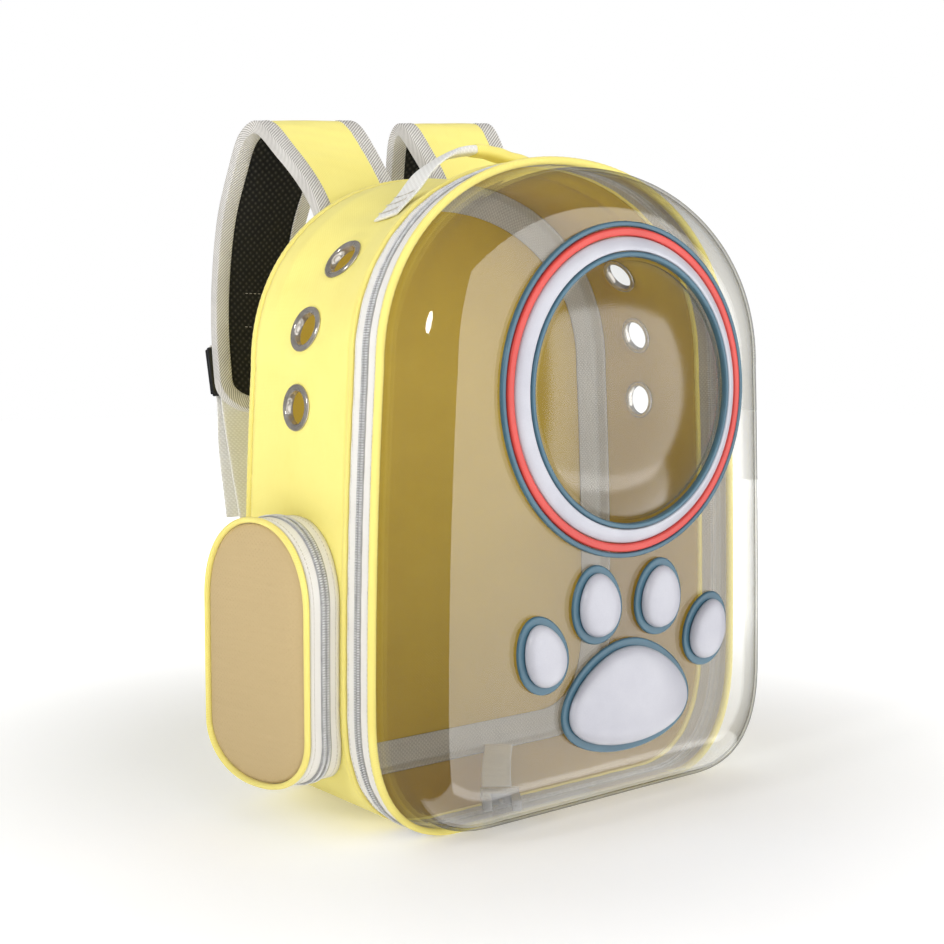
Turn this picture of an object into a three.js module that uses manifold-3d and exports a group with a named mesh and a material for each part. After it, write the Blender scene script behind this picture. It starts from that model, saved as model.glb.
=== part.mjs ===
// Bubble pet carrier backpack, in millimetres: +Z up, the clear front faces -Y,
// the straps are at +Y and the wearer's sides are at -X and +X.
import * as THREE from 'three';
import Module from 'manifold-3d';
import { mergeVertices } from 'three/addons/utils/BufferGeometryUtils.js';

const wasm = await Module();
wasm.setup();

// Body outline, seen from the front
const BODY_WIDTH = 320;
const BODY_HEIGHT = 424;
const SPRING_WIDTH = 306;
const SPRING_HEIGHT = 290;
const ARCH_POWER = 2.1;
const CORNER_WIDTH = 70;
const CORNER_HEIGHT = 85;
const CORNER_POWER = 2.5;

// Body depth, from the front seam at y = 0 to the back panel's seam
const BODY_DEPTH = 145;
const CLEARANCE = 0.3;
const FABRIC = 2;
const GUSSET_SAG = 8;
const SAG_START = 285;
const SAG_FULL = 365;

// Corded seams
const PIPING_RADIUS = 2.6;
const PIPING_PROUD = 1.5;
const SMALL_PIPING_RADIUS = 1.9;
const SMALL_PIPING_PROUD = 1.1;

// Zip that opens the clear front
const TAPE_THICKNESS = 1.5;
const TAPE_DROP = 0.8;
const FRONT_TAPE_WIDTH = 11.5;
const REAR_TAPE_WIDTH = 11.5;
const COIL_WIDTH = 4.4;
const COIL_THICKNESS = 3;
const SLIDER_HEIGHT = 62;
const SLIDER_LENGTH = 13;
const SLIDER_WIDTH = 8.5;
const SLIDER_THICKNESS = 2.4;
const PULLER_LENGTH = 27;
const PULLER_WIDTH = 6;
const PULLER_THICKNESS = 1.6;

// Clear front
const SHELL_WALL = 1.8;
const SHELL_DEPTH = 53;
const SHELL_DRAFT = 3;
const SHELL_CORNER_WIDTH = 44;
const SHELL_CORNER_DEPTH = 36;
const SHELL_TUCK = 7;

// Window in the clear front
const WINDOW_HEIGHT = 276;
const WINDOW_RADIUS = 82.5;
const SHELL_HOLE_RADIUS = 90;
const DOME_WALL = 1.6;
const DOME_RISE = 30;
const DOME_FLANGE_DROP = 1.6;
const DOME_FLANGE_THICKNESS = 1.8;
const INNER_BEAD_WIDTH = 3.6;
const INNER_BEAD_HEIGHT = 4;
const RING_WIDTH = 8.8;
const RING_INNER_HEIGHT = 7;
const RING_OUTER_HEIGHT = 3;
const STRIPE_WIDTH = 5.6;
const STRIPE_HEIGHT = 4;
const OUTER_BEAD_WIDTH = 3.4;
const OUTER_BEAD_HEIGHT = 3;

// Raised badge under the window: a pad with four toes, each on its own edging
const BADGE_EDGE = 5;
const BADGE_EDGE_THICKNESS = 2.4;
const PAD_HEIGHT = 84;
const PAD_HALF_WIDTH = 50;
const PAD_HALF_HEIGHT = 31;
const PAD_WAIST = 6;
const PAD_PUFF = 11;
const TOE_PUFF = 8;
const TOE_TABLE = [
  { name: '1', across: -72, up: 34, halfWidth: 15, halfHeight: 20, lean: 22 },
  { name: '2', across: -27, up: 60, halfWidth: 16, halfHeight: 20, lean: 7 },
  { name: '3', across: 27, up: 60, halfWidth: 16, halfHeight: 20, lean: -7 },
  { name: '4', across: 72, up: 34, halfWidth: 15, halfHeight: 20, lean: -22 },
];

// Eyelets in the gusset
const EYELET_RADIUS = 15;
const EYELET_HOLE_RADIUS = 10;
const EYELET_BARREL = 1.3;
const EYELET_FLANGE = 1.6;
const EYELET_SEAT = 0.8;
const EYELET_INSIDE = 2;
const EYELET_SIDES = 10;
const EYELET_TABLE = [
  { name: '1', back: 80, height: 363 },
  { name: '2', back: 86, height: 315 },
  { name: '3', back: 88, height: 265 },
];

// Back panel and the binding tape on its inside seam
const PANEL_THICKNESS = 12;
const PANEL_PUFF = 3;
const PANEL_BASE = 8;
const SEAM_TAPE_WIDTH = 13;

// Side pockets
const POCKET_WIDTH = 104;
const POCKET_BOTTOM = 27;
const POCKET_TOP = 198;
const POCKET_FRONT_DEPTH = 19;
const POCKET_REAR_DEPTH = 33;
const POCKET_TOP_ARCH = 56;
const POCKET_FOOT_ARCH = 38;
const POCKET_POWER = 2.15;
const POCKET_FACE_PUFF = 4;
const POCKET_SEAM = 0.7;

// Shoulder straps
const STRAP_WIDTH = 68;
const STRAP_PAD = 7;
const STRAP_COVER = 1.5;
const STRAP_TIP = 24;
const STRAP_INSET = 1;
const STRAP_SLACK = 0.6;
const BINDING_WIDTH = 10;
const BINDING_THICKNESS = 1.1;
const WEBBING_WIDTH = 25;
const WEBBING_THICKNESS = 1.8;
const STRAP_TABLE = [
  { out: 60, back: 12.8, height: 392 },
  { out: 60, back: 24, height: 417 },
  { out: 61, back: 55, height: 447 },
  { out: 63, back: 83, height: 466 },
  { out: 66, back: 103, height: 459 },
  { out: 69, back: 116, height: 434 },
  { out: 71, back: 126, height: 402 },
  { out: 73, back: 134, height: 362 },
  { out: 76, back: 132, height: 320 },
  { out: 78, back: 125, height: 285 },
  { out: 79, back: 117, height: 256 },
];

// Ladder lock on each strap, and the webbing it takes down to the base
const LOCK_HEIGHT = 38;
const LOCK_WIDTH = 36;
const LOCK_THICKNESS = 4;
const LOCK_BAR = 5;
const LOCK_FRAME = 4.2;
const LOCK_FROM_TIP = 40;
const LOCK_STANDOFF = 7;
const TAB_LENGTH = 34;
const ANCHOR_OUT = 118;
const ANCHOR_HEIGHT = 24;
const TAIL_LENGTH = 95;

// Grab handle: lift is the height of its middle above the cloth under it
const HANDLE_BACK = 62;
const HANDLE_WIDTH = 23;
const HANDLE_THICKNESS = 2;
const GRIP_WIDTH = 12;
const GRIP_THICKNESS = 6;
const HANDLE_TABLE = [
  { across: -113, lift: 2.2, grip: 0 },
  { across: -92, lift: 5.5, grip: 0 },
  { across: -69, lift: 14.5, grip: 0 },
  { across: -48, lift: 19, grip: 0.7 },
  { across: -26, lift: 19, grip: 1 },
  { across: 0, lift: 14, grip: 1 },
  { across: 26, lift: 11.5, grip: 1 },
  { across: 48, lift: 11, grip: 0.7 },
  { across: 72, lift: 9, grip: 0 },
  { across: 94, lift: 5, grip: 0 },
  { across: 113, lift: 2.2, grip: 0 },
];

// Safety leash on the cabin floor, from the back seam to its clip
const LEASH_WIDTH = 20;
const LEASH_THICKNESS = 1.8;
const LEASH_TABLE = [
  { across: 42, back: 126, rise: 3.1 },
  { across: 24, back: 102, rise: 10 },
  { across: -6, back: 68, rise: 13 },
  { across: -36, back: 32, rise: 10 },
  { across: -52, back: 10, rise: 10 },
];
const CLIP_LENGTH = 30;
const CLIP_WIDTH = 25;
const CLIP_THICKNESS = 8;

// Colours, as the photo shows them
const YELLOW = new THREE.MeshStandardMaterial({ color: 0xf6ee96, roughness: 0.85 });
const PIPING_YELLOW = new THREE.MeshStandardMaterial({ color: 0xf1e482, roughness: 0.8 });
const TAPE_WHITE = new THREE.MeshStandardMaterial({ color: 0xd6d2cd, roughness: 0.85 });
const COIL_GREY = new THREE.MeshStandardMaterial({ color: 0x9c9a98, roughness: 0.45 });
const CLEAR = new THREE.MeshStandardMaterial({
  color: 0xf4f6f8,
  roughness: 0.05,
  transparent: true,
  opacity: 0.2,
});
const TEAL = new THREE.MeshStandardMaterial({ color: 0x507d91, roughness: 0.35 });
const VINYL_WHITE = new THREE.MeshStandardMaterial({ color: 0xd8d8e2, roughness: 0.3 });
const RED = new THREE.MeshStandardMaterial({ color: 0xdd544a, roughness: 0.35 });
const METAL = new THREE.MeshStandardMaterial({ color: 0x8b8680, roughness: 0.2, metalness: 1 });
const TAN = new THREE.MeshStandardMaterial({ color: 0xb99b69, roughness: 0.9 });
const BLACK_MESH = new THREE.MeshStandardMaterial({ color: 0x141414, roughness: 0.9 });
const BLACK_PLASTIC = new THREE.MeshStandardMaterial({ color: 0x17191c, roughness: 0.4 });
const GREY_WEBBING = new THREE.MeshStandardMaterial({ color: 0xa39c90, roughness: 0.85 });
const GREY_PLASTIC = new THREE.MeshStandardMaterial({ color: 0x77736e, roughness: 0.3 });

const { lerp, smoothstep, degToRad } = THREE.MathUtils;
const pack = new THREE.Group();

// A closed body from points and triangles, its faces turned outwards
function bodyFrom(points, triangles) {
  let volume = 0;
  const side = new THREE.Vector3();
  for (const [a, b, c] of triangles) {
    volume += side.crossVectors(points[b], points[c]).dot(points[a]);
  }
  const order = volume < 0 ? triangles.map(([a, b, c]) => [a, c, b]) : triangles;
  const geometry = new THREE.BufferGeometry().setFromPoints(points);
  geometry.setIndex(order.flat());
  return geometry;
}

// A skin over rings of points; it ends in flat caps, or joins up when the rings go round
function loft(rings, goesRound = false, cap = null) {
  const size = rings[0].length;
  const triangles = [];
  const steps = goesRound ? rings.length : rings.length - 1;
  for (let i = 0; i < steps; i += 1) {
    const here = i * size;
    const next = ((i + 1) % rings.length) * size;
    for (let j = 0; j < size; j += 1) {
      const k = (j + 1) % size;
      triangles.push([here + j, here + k, next + k], [here + j, next + k, next + j]);
    }
  }
  if (!goesRound) {
    const capFaces = cap ?? fan(size);
    const last = (rings.length - 1) * size;
    for (const [a, b, c] of capFaces) {
      triangles.push([c, b, a], [last + a, last + b, last + c]);
    }
  }
  return bodyFrom(rings.flat(), triangles);
}

function fan(size) {
  return Array.from({ length: size - 2 }, (_, i) => [0, i + 1, i + 2]);
}

// Triangles over a flat ring of any outline
function capOf(flatPoints) {
  return THREE.ShapeUtils.triangulateShape(flatPoints, []);
}

function solidOf(geometry) {
  const bare = geometry.clone();
  bare.deleteAttribute('normal');
  bare.deleteAttribute('uv');
  const merged = mergeVertices(bare, 1e-4);
  return new wasm.Manifold(new wasm.Mesh({
    numProp: 3,
    vertProperties: new Float32Array(merged.attributes.position.array),
    triVerts: new Uint32Array(merged.index.array),
  }));
}

function geometryOf(solid) {
  const { vertProperties, triVerts } = solid.getMesh();
  const geometry = new THREE.BufferGeometry();
  geometry.setAttribute('position', new THREE.BufferAttribute(vertProperties, 3));
  geometry.setIndex(new THREE.BufferAttribute(triVerts, 1));
  return geometry;
}

function cut(geometry, cutters) {
  return geometryOf(cutters.reduce((solid, cutter) => solid.subtract(solidOf(cutter)), solidOf(geometry)));
}

function join(geometries) {
  return geometryOf(geometries.map(solidOf).reduce((whole, solid) => whole.add(solid)));
}

function add(name, geometry, material) {
  const mesh = new THREE.Mesh(geometry, material);
  mesh.name = name;
  pack.add(mesh);
  return mesh;
}

// Half of the body's outline as [x, z], from the middle of the base to the top of the arch
function halfOutline(inset) {
  const low = Math.max(inset, 0);
  const half = BODY_WIDTH / 2 - inset;
  const springHalf = SPRING_WIDTH / 2 - inset;
  const cornerWidth = CORNER_WIDTH - inset;
  const cornerHeight = CORNER_HEIGHT - low;
  const points = [[0, low], [(half - cornerWidth) / 2, low]];
  const quarter = (step, steps, power) => {
    const angle = (step / steps) * Math.PI / 2;
    return [Math.cos(angle) ** (2 / power), Math.sin(angle) ** (2 / power)];
  };
  const cornerSteps = 5;
  for (let i = cornerSteps; i >= 0; i -= 1) {
    const [across, up] = quarter(i, cornerSteps, CORNER_POWER);
    points.push([half - cornerWidth * (1 - across), low + cornerHeight * (1 - up)]);
  }
  const sideSteps = 3;
  for (let i = 1; i < sideSteps; i += 1) {
    const share = i / sideSteps;
    points.push([lerp(half, springHalf, share ** 2), lerp(CORNER_HEIGHT, SPRING_HEIGHT, share)]);
  }
  const archSteps = 8;
  for (let i = 0; i <= archSteps; i += 1) {
    const [across, up] = quarter(i, archSteps, ARCH_POWER);
    points.push([springHalf * across, SPRING_HEIGHT + (BODY_HEIGHT - inset - SPRING_HEIGHT) * up]);
  }
  return points;
}

// The whole outline, once round from the middle of the base
function outline(inset) {
  const right = halfOutline(inset);
  const left = right.slice(1, -1).reverse().map(([x, z]) => [-x, z]);
  return [...right, ...left];
}

function halfWidthAt(height, inset = 0) {
  const points = halfOutline(inset);
  const i = points.findIndex(([, z], index) => index > 1 && z >= height);
  const [x1, z1] = points[Math.max(i, 1)];
  const [x0, z0] = points[Math.max(i, 1) - 1];
  return lerp(x0, x1, (height - z0) / (z1 - z0));
}

function heightAt(across, inset = 0) {
  const points = halfOutline(inset);
  const i = points.findLastIndex(([x]) => x >= Math.abs(across));
  const [x0, z0] = points[i];
  const [x1, z1] = points[Math.min(i + 1, points.length - 1)];
  return x0 === x1 ? z0 : lerp(z0, z1, (x0 - Math.abs(across)) / (x0 - x1));
}

// A section given as rows of depth and inset, carried round the outline
function around(section, place = (x, y, z) => new THREE.Vector3(x, y, z)) {
  const loops = section.map(({ inset }) => outline(inset));
  return loft(loops[0].map((_, i) => section.map(({ y }, row) => {
    const [x, z] = loops[row][i];
    return place(x, y, z);
  })), true);
}

function band(from, to, inset, thickness, place) {
  return around([
    { y: from, inset },
    { y: to, inset },
    { y: to, inset: inset + thickness },
    { y: from, inset: inset + thickness },
  ], place);
}

function cordedSeam(y, radius, proud) {
  const sides = 5;
  const middle = radius - proud;
  return around(Array.from({ length: sides }, (_, i) => {
    const angle = ((i + 0.25) / sides) * 2 * Math.PI;
    return { y: y + radius * Math.cos(angle), inset: middle + radius * Math.sin(angle) };
  }));
}

// Depths along the body, from the front seam backwards
const frontTapeStart = PIPING_RADIUS + CLEARANCE;
const frontTapeEnd = frontTapeStart + FRONT_TAPE_WIDTH;
const rearTapeStart = frontTapeEnd + CLEARANCE;
const rearTapeEnd = rearTapeStart + REAR_TAPE_WIDTH;
const coilMiddle = (frontTapeEnd + rearTapeStart) / 2;
const gussetPipingY = rearTapeEnd + CLEARANCE + SMALL_PIPING_RADIUS;
const gussetFront = gussetPipingY + SMALL_PIPING_RADIUS + CLEARANCE;
const gussetRear = BODY_DEPTH - PIPING_RADIUS - CLEARANCE;

// Over the arch the gusset's cloth sags, from its front seam to the tape on its rear seam
const sagEnd = BODY_DEPTH - PANEL_BASE - CLEARANCE - SEAM_TAPE_WIDTH;

function sagged(x, y, z) {
  const share = THREE.MathUtils.clamp((y - gussetFront) / (sagEnd - gussetFront), 0, 1);
  const sag = GUSSET_SAG * Math.sin(share * Math.PI) * smoothstep(z, SAG_START, SAG_FULL);
  const inward = new THREE.Vector2(-x, SPRING_HEIGHT - z).normalize();
  return new THREE.Vector3(x + inward.x * sag, y, z + inward.y * sag);
}

// A point of the gusset's outer face on one side, and the way that face looks there
function gussetPlace(side, back, height) {
  const place = (y, z) => sagged(side * halfWidthAt(z), y, z);
  const step = 12;
  const up = place(back, height + step).sub(place(back, height - step));
  const rearward = place(back + step, height).sub(place(back - step, height));
  const normal = rearward.cross(up).multiplyScalar(side).normalize();
  return { point: place(back, height), normal };
}

function gusset() {
  const steps = 4;
  const stations = Array.from({ length: steps + 1 }, (_, i) => lerp(gussetFront, sagEnd, i / steps));
  stations.push(gussetRear);
  const outer = stations.map((y) => ({ y, inset: 0 }));
  const inner = stations.map((y) => ({ y, inset: FABRIC })).reverse();
  const holes = [-1, 1].flatMap((side) => EYELET_TABLE.map(({ back, height }) => {
    const { point, normal } = gussetPlace(side, back, height);
    const hole = EYELET_HOLE_RADIUS + EYELET_BARREL + CLEARANCE;
    const seat = EYELET_RADIUS + CLEARANCE;
    const drill = new THREE.CylinderGeometry(hole, hole, 8 * FABRIC, EYELET_SIDES);
    const press = new THREE.CylinderGeometry(seat, seat, 4 * FABRIC, EYELET_SIDES);
    press.translate(0, 2 * FABRIC + EYELET_SEAT - CLEARANCE, 0);
    return [turnTo(drill, normal, point), turnTo(press, normal, point)];
  }).flat());
  return cut(around([...outer, ...inner], sagged), holes);
}

// Turns a shape made about +Y so that it looks along a direction, then moves it there
function turnTo(geometry, direction, place) {
  const turn = new THREE.Quaternion().setFromUnitVectors(new THREE.Vector3(0, 1, 0), direction);
  return geometry.applyQuaternion(turn).translate(place.x, place.y, place.z);
}

// One eyelet: a barrel through the cloth with a flange on each face of it
function eyelet() {
  const barrel = EYELET_HOLE_RADIUS + EYELET_BARREL;
  const outFace = EYELET_SEAT;
  const inFace = -FABRIC - EYELET_INSIDE;
  const edge = EYELET_FLANGE * 0.4;
  const profile = [
    [EYELET_HOLE_RADIUS, inFace - EYELET_FLANGE],
    [barrel + EYELET_BARREL, inFace - EYELET_FLANGE],
    [barrel + EYELET_BARREL, inFace],
    [barrel, inFace],
    [barrel, outFace],
    [EYELET_RADIUS, outFace],
    [EYELET_RADIUS - edge, outFace + EYELET_FLANGE],
    [EYELET_HOLE_RADIUS + edge, outFace + EYELET_FLANGE],
    [EYELET_HOLE_RADIUS, outFace],
    [EYELET_HOLE_RADIUS, inFace - EYELET_FLANGE],
  ];
  return turned(profile, EYELET_SIDES);
}

// Clear front: a drafted wall, a wide rounded edge and a flat face with the window's hole
const shellInset = 2 * PIPING_RADIUS - PIPING_PROUD + CLEARANCE;
const faceY = -SHELL_DEPTH;

function shellRows(wall) {
  const edgeStart = -(SHELL_DEPTH - SHELL_CORNER_DEPTH);
  const rows = [
    { y: SHELL_TUCK, inset: shellInset + (SHELL_DRAFT * SHELL_TUCK) / edgeStart + wall },
    { y: edgeStart, inset: shellInset + SHELL_DRAFT + wall },
  ];
  const steps = 4;
  for (let i = 1; i <= steps; i += 1) {
    const angle = (i / steps) * Math.PI / 2;
    rows.push({
      y: edgeStart - (SHELL_CORNER_DEPTH - wall) * Math.sin(angle),
      inset: shellInset + SHELL_DRAFT + SHELL_CORNER_WIDTH - (SHELL_CORNER_WIDTH - wall) * Math.cos(angle),
    });
  }
  return rows;
}

function clearShell() {
  const rows = [...shellRows(SHELL_WALL).reverse(), ...shellRows(0)];
  const rings = rows.map(({ y, inset }) => outline(inset).map(([x, z]) => new THREE.Vector3(x, y, z)));
  const cap = capOf(rings[0].map(({ x, z }) => new THREE.Vector2(x, z)));
  const hole = new THREE.CylinderGeometry(SHELL_HOLE_RADIUS, SHELL_HOLE_RADIUS, 6 * SHELL_WALL, 32);
  return cut(loft(rings, false, cap), [hole.translate(0, faceY, WINDOW_HEIGHT)]);
}

// A round body from a closed profile of [radius, y], turned the way that faces it outwards
function turned(profile, sides) {
  const points = profile.map(([r, y]) => new THREE.Vector2(r, y));
  return new THREE.LatheGeometry(THREE.ShapeUtils.area(points) < 0 ? points.reverse() : points, sides);
}

// A round piece on the clear front, from rows of radius and height above its face
function onFace(profile, sides) {
  return turned(profile.map(([r, height]) => [r, -height]), sides).translate(0, faceY, WINDOW_HEIGHT);
}

const domeFlangeTop = DOME_FLANGE_DROP + DOME_FLANGE_THICKNESS;
const beadBase = domeFlangeTop + CLEARANCE;
const beadOuter = WINDOW_RADIUS + INNER_BEAD_WIDTH;
const ringInner = beadOuter + CLEARANCE;
const ringOuter = ringInner + RING_WIDTH;
const stripeInner = ringOuter + CLEARANCE;
const stripeOuter = stripeInner + STRIPE_WIDTH;
const outerBeadInner = stripeOuter + CLEARANCE;
const windowSides = 24;

function rounded(inner, outer, base, top) {
  const shoulder = lerp(base, top, 0.5);
  return [
    [inner, base],
    [outer, base],
    [outer, shoulder],
    [lerp(inner, outer, 0.5), top],
    [inner, shoulder],
    [inner, base],
  ];
}

function dome() {
  const arc = (radius, rise, steps) => {
    const ball = (radius ** 2 + rise ** 2) / (2 * rise);
    const half = Math.asin(radius / ball);
    return Array.from({ length: steps + 1 }, (_, i) => {
      const angle = half * (i / steps);
      return [i === 0 ? 0 : ball * Math.sin(angle), domeFlangeTop + rise - ball * (1 - Math.cos(angle))];
    });
  };
  const outer = arc(WINDOW_RADIUS - CLEARANCE, DOME_RISE, 4);
  const inner = arc(WINDOW_RADIUS - CLEARANCE - DOME_WALL, DOME_RISE - DOME_WALL, 4);
  const rim = beadOuter;
  return onFace([
    ...outer,
    [rim, domeFlangeTop],
    [rim, DOME_FLANGE_DROP],
    [WINDOW_RADIUS - CLEARANCE - DOME_WALL, DOME_FLANGE_DROP],
    ...inner.reverse(),
  ], windowSides);
}

// Outline of a badge piece: an egg, wider at the foot, leaning by some degrees
function eggOutline({ halfWidth, halfHeight, lean, grow, waist }, sides) {
  return Array.from({ length: sides }, (_, i) => {
    const angle = (i / sides) * 2 * Math.PI;
    const up = Math.sin(angle);
    const x = (halfWidth + grow) * Math.cos(angle) - waist * Math.sin(2 * angle);
    return new THREE.Vector2(x, (halfHeight + grow) * up).rotateAround(new THREE.Vector2(), degToRad(lean));
  });
}

function badgePiece(shape, sides, rows) {
  const rings = rows.map(({ grow, height }) => eggOutline({ ...shape, grow }, sides).map(({ x, y }) => (
    new THREE.Vector3(shape.across + x, faceY - height, shape.height + y))));
  return loft(rings, false, fan(sides));
}

function edging(shape, sides) {
  return badgePiece(shape, sides, [
    { grow: BADGE_EDGE, height: CLEARANCE },
    { grow: BADGE_EDGE, height: CLEARANCE + BADGE_EDGE_THICKNESS * 0.6 },
    { grow: BADGE_EDGE - 1, height: CLEARANCE + BADGE_EDGE_THICKNESS },
  ]);
}

function puffed(shape, sides, puff) {
  const base = 2 * CLEARANCE + BADGE_EDGE_THICKNESS;
  const soft = Math.min(shape.halfWidth, shape.halfHeight);
  return badgePiece(shape, sides, [
    { grow: -0.04 * soft, height: base },
    { grow: 0, height: base + puff * 0.3 },
    { grow: -0.1 * soft, height: base + puff * 0.68 },
    { grow: -0.34 * soft, height: base + puff * 0.92 },
    { grow: -0.66 * soft, height: base + puff },
  ]);
}

// Back panel: a padded plate in the rear seam, fuller in its middle
function backPanel() {
  const inset = shellInset;
  const front = BODY_DEPTH - PANEL_BASE;
  const back = front + PANEL_THICKNESS;
  const rows = [
    { y: front, inset },
    { y: back - 4, inset },
    { y: back, inset: inset + 8 },
    { y: back + PANEL_PUFF, inset: inset + 40 },
  ];
  const rings = rows.map((row) => outline(row.inset).map(([x, z]) => new THREE.Vector3(x, row.y, z)));
  return loft(rings, false, capOf(rings[0].map(({ x, z }) => new THREE.Vector2(x, z))));
}

function zipSlider() {
  const { point } = gussetPlace(1, coilMiddle, SLIDER_HEIGHT);
  const proud = COIL_THICKNESS - TAPE_DROP + CLEARANCE;
  const x = point.x + proud + SLIDER_THICKNESS / 2;
  const body = new THREE.BoxGeometry(SLIDER_THICKNESS, SLIDER_WIDTH, SLIDER_LENGTH);
  const puller = new THREE.BoxGeometry(PULLER_THICKNESS, PULLER_WIDTH, PULLER_LENGTH);
  body.translate(x, coilMiddle, SLIDER_HEIGHT);
  const pullerX = x + SLIDER_THICKNESS / 2 + PULLER_THICKNESS / 2 - CLEARANCE;
  puller.translate(pullerX, coilMiddle, SLIDER_HEIGHT + PULLER_LENGTH / 2 - SLIDER_LENGTH / 2);
  return join([body, puller]);
}

// Pocket outline as [y, z], a tall arch with rounder top than foot
const pocketFront = gussetFront + CLEARANCE;
const pocketMiddle = pocketFront + POCKET_WIDTH / 2;
const POCKET_STEP = 30;

function pocketOutline(inset) {
  const half = POCKET_WIDTH / 2 - inset;
  const quarters = [
    { side: 1, end: POCKET_BOTTOM + inset, reach: POCKET_FOOT_ARCH - inset, way: -1 },
    { side: 1, end: POCKET_TOP - inset, reach: POCKET_TOP_ARCH - inset, way: 1 },
    { side: -1, end: POCKET_TOP - inset, reach: POCKET_TOP_ARCH - inset, way: 1 },
    { side: -1, end: POCKET_BOTTOM + inset, reach: POCKET_FOOT_ARCH - inset, way: -1 },
  ];
  const steps = 4;
  const bends = quarters.flatMap(({ side, end, reach, way }) => Array.from({ length: steps + 1 }, (_, i) => {
    const climbs = (side === 1) === (way === 1);
    const angle = ((climbs ? i : steps - i) / steps) * Math.PI / 2;
    const across = Math.cos(angle) ** (2 / POCKET_POWER) * half;
    const up = Math.sin(angle) ** (2 / POCKET_POWER) * reach;
    return [pocketMiddle + side * across, end - way * (reach - up)];
  }));
  return bends.flatMap((place, i) => {
    const next = bends[(i + 1) % bends.length];
    const apart = Math.hypot(next[0] - place[0], next[1] - place[1]);
    if (apart < 0.01) return [];
    const spare = Math.ceil(apart / POCKET_STEP) - 1;
    const between = Array.from({ length: spare }, (_, k) => {
      const share = (k + 1) / (spare + 1);
      return [lerp(place[0], next[0], share), lerp(place[1], next[1], share)];
    });
    return [place, ...between];
  });
}

// A place on the pocket: share 0 lies on the gusset and share 1 in the plane of its face
function pocketPoint(side, share, [y, z], puff = 0) {
  const wall = halfWidthAt(z) + POCKET_SEAM;
  const deep = lerp(POCKET_FRONT_DEPTH, POCKET_REAR_DEPTH, (y - pocketFront) / POCKET_WIDTH);
  return new THREE.Vector3(side * (lerp(wall, BODY_WIDTH / 2 + deep, share) + puff), y, z);
}

function pocketRing(side, section) {
  const loops = section.map(({ inset }) => pocketOutline(inset));
  const rings = loops[0].map((_, i) => (
    section.map(({ share }, row) => pocketPoint(side, share, loops[row][i]))));
  return loft(rings, true);
}

const POCKET_TAPE_END = 0.86;

function pocketBand(side, from, to) {
  return pocketRing(side, [
    { share: from, inset: SMALL_PIPING_PROUD },
    { share: to, inset: SMALL_PIPING_PROUD },
    { share: to, inset: SMALL_PIPING_PROUD + TAPE_THICKNESS },
    { share: from, inset: SMALL_PIPING_PROUD + TAPE_THICKNESS },
  ]);
}

function pocketCoil(side) {
  const middle = POCKET_TAPE_END / 2;
  const half = 0.1;
  return pocketRing(side, [
    { share: middle - half, inset: SMALL_PIPING_PROUD - CLEARANCE },
    { share: middle - half * 0.6, inset: SMALL_PIPING_PROUD - CLEARANCE - COIL_THICKNESS * 0.4 },
    { share: middle + half * 0.6, inset: SMALL_PIPING_PROUD - CLEARANCE - COIL_THICKNESS * 0.4 },
    { share: middle + half, inset: SMALL_PIPING_PROUD - CLEARANCE },
  ]);
}

function pocketPiping(side) {
  const start = POCKET_TAPE_END + 0.02;
  return pocketRing(side, [
    { share: start, inset: SMALL_PIPING_PROUD },
    { share: start + 0.08, inset: 0 },
    { share: 1.04, inset: SMALL_PIPING_PROUD },
    { share: 1.02, inset: 2 * SMALL_PIPING_RADIUS },
    { share: start, inset: 2 * SMALL_PIPING_RADIUS },
  ]);
}

function pocketFace(side) {
  const inset = 2 * SMALL_PIPING_RADIUS + CLEARANCE;
  const start = POCKET_TAPE_END + 0.06;
  const rows = [
    { inset: inset + 14, puff: POCKET_FACE_PUFF - FABRIC },
    { inset, puff: -FABRIC },
    { inset, puff: 0 },
    { inset: inset + 14, puff: POCKET_FACE_PUFF },
  ];
  const share = (start + 1) / 2;
  const rings = rows.map((row) => (
    pocketOutline(row.inset).map((place) => pocketPoint(side, share, place, row.puff))));
  const flat = pocketOutline(inset + 14).map(([y, z]) => new THREE.Vector2(y, z));
  return loft(rings, false, capOf(flat));
}

// A strap's middle line and its outward direction, read at any length along it
function strapRoute(side) {
  const places = STRAP_TABLE.map(({ out, back, height }) => (
    new THREE.Vector3(side * out, BODY_DEPTH + back, height)));
  const curve = new THREE.CatmullRomCurve3(places, false, 'centripetal');
  const length = curve.getLength();
  const across = new THREE.Vector3(1, 0, 0);
  const at = (s) => {
    const share = THREE.MathUtils.clamp(s / length, 0, 1);
    const outward = new THREE.Vector3().crossVectors(across, curve.getTangentAt(share)).normalize();
    return { middle: curve.getPointAt(share), across, outward };
  };
  return { length, at };
}

function strapPoint(route, s, across, out) {
  const place = route.at(s);
  return place.middle.clone().addScaledVector(place.across, across).addScaledVector(place.outward, out);
}

const STRAP_STEPS = 14;
const TIP_BENDS = 3;

// Lengths and half widths of a strap's layer, straight and then round its tip
function strapStations(route, inset) {
  const end = route.length - STRAP_TIP;
  const half = STRAP_WIDTH / 2 - inset;
  const tip = STRAP_TIP - inset;
  const straight = Array.from({ length: STRAP_STEPS }, (_, i) => ({ s: (end * i) / STRAP_STEPS, half }));
  const bends = Array.from({ length: TIP_BENDS }, (_, i) => {
    const angle = (i / TIP_BENDS) * Math.PI / 2;
    return { s: end + tip * Math.sin(angle), half: half * Math.cos(angle) };
  });
  const last = bends.at(-1);
  return [...straight, ...bends, { s: lerp(last.s, end + tip, 0.7), half: last.half * 0.3 }];
}

function strapLayer(side, inset, low, high) {
  const route = strapRoute(side);
  return loft(strapStations(route, inset).map(({ s, half }) => (
    [[half, low], [-half, low], [-half, high], [half, high]].map(([a, n]) => strapPoint(route, s, a, n)))));
}

const padLow = -STRAP_PAD / 2;
const padHigh = STRAP_PAD / 2;
const coverHigh = padHigh + CLEARANCE + STRAP_COVER;

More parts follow.
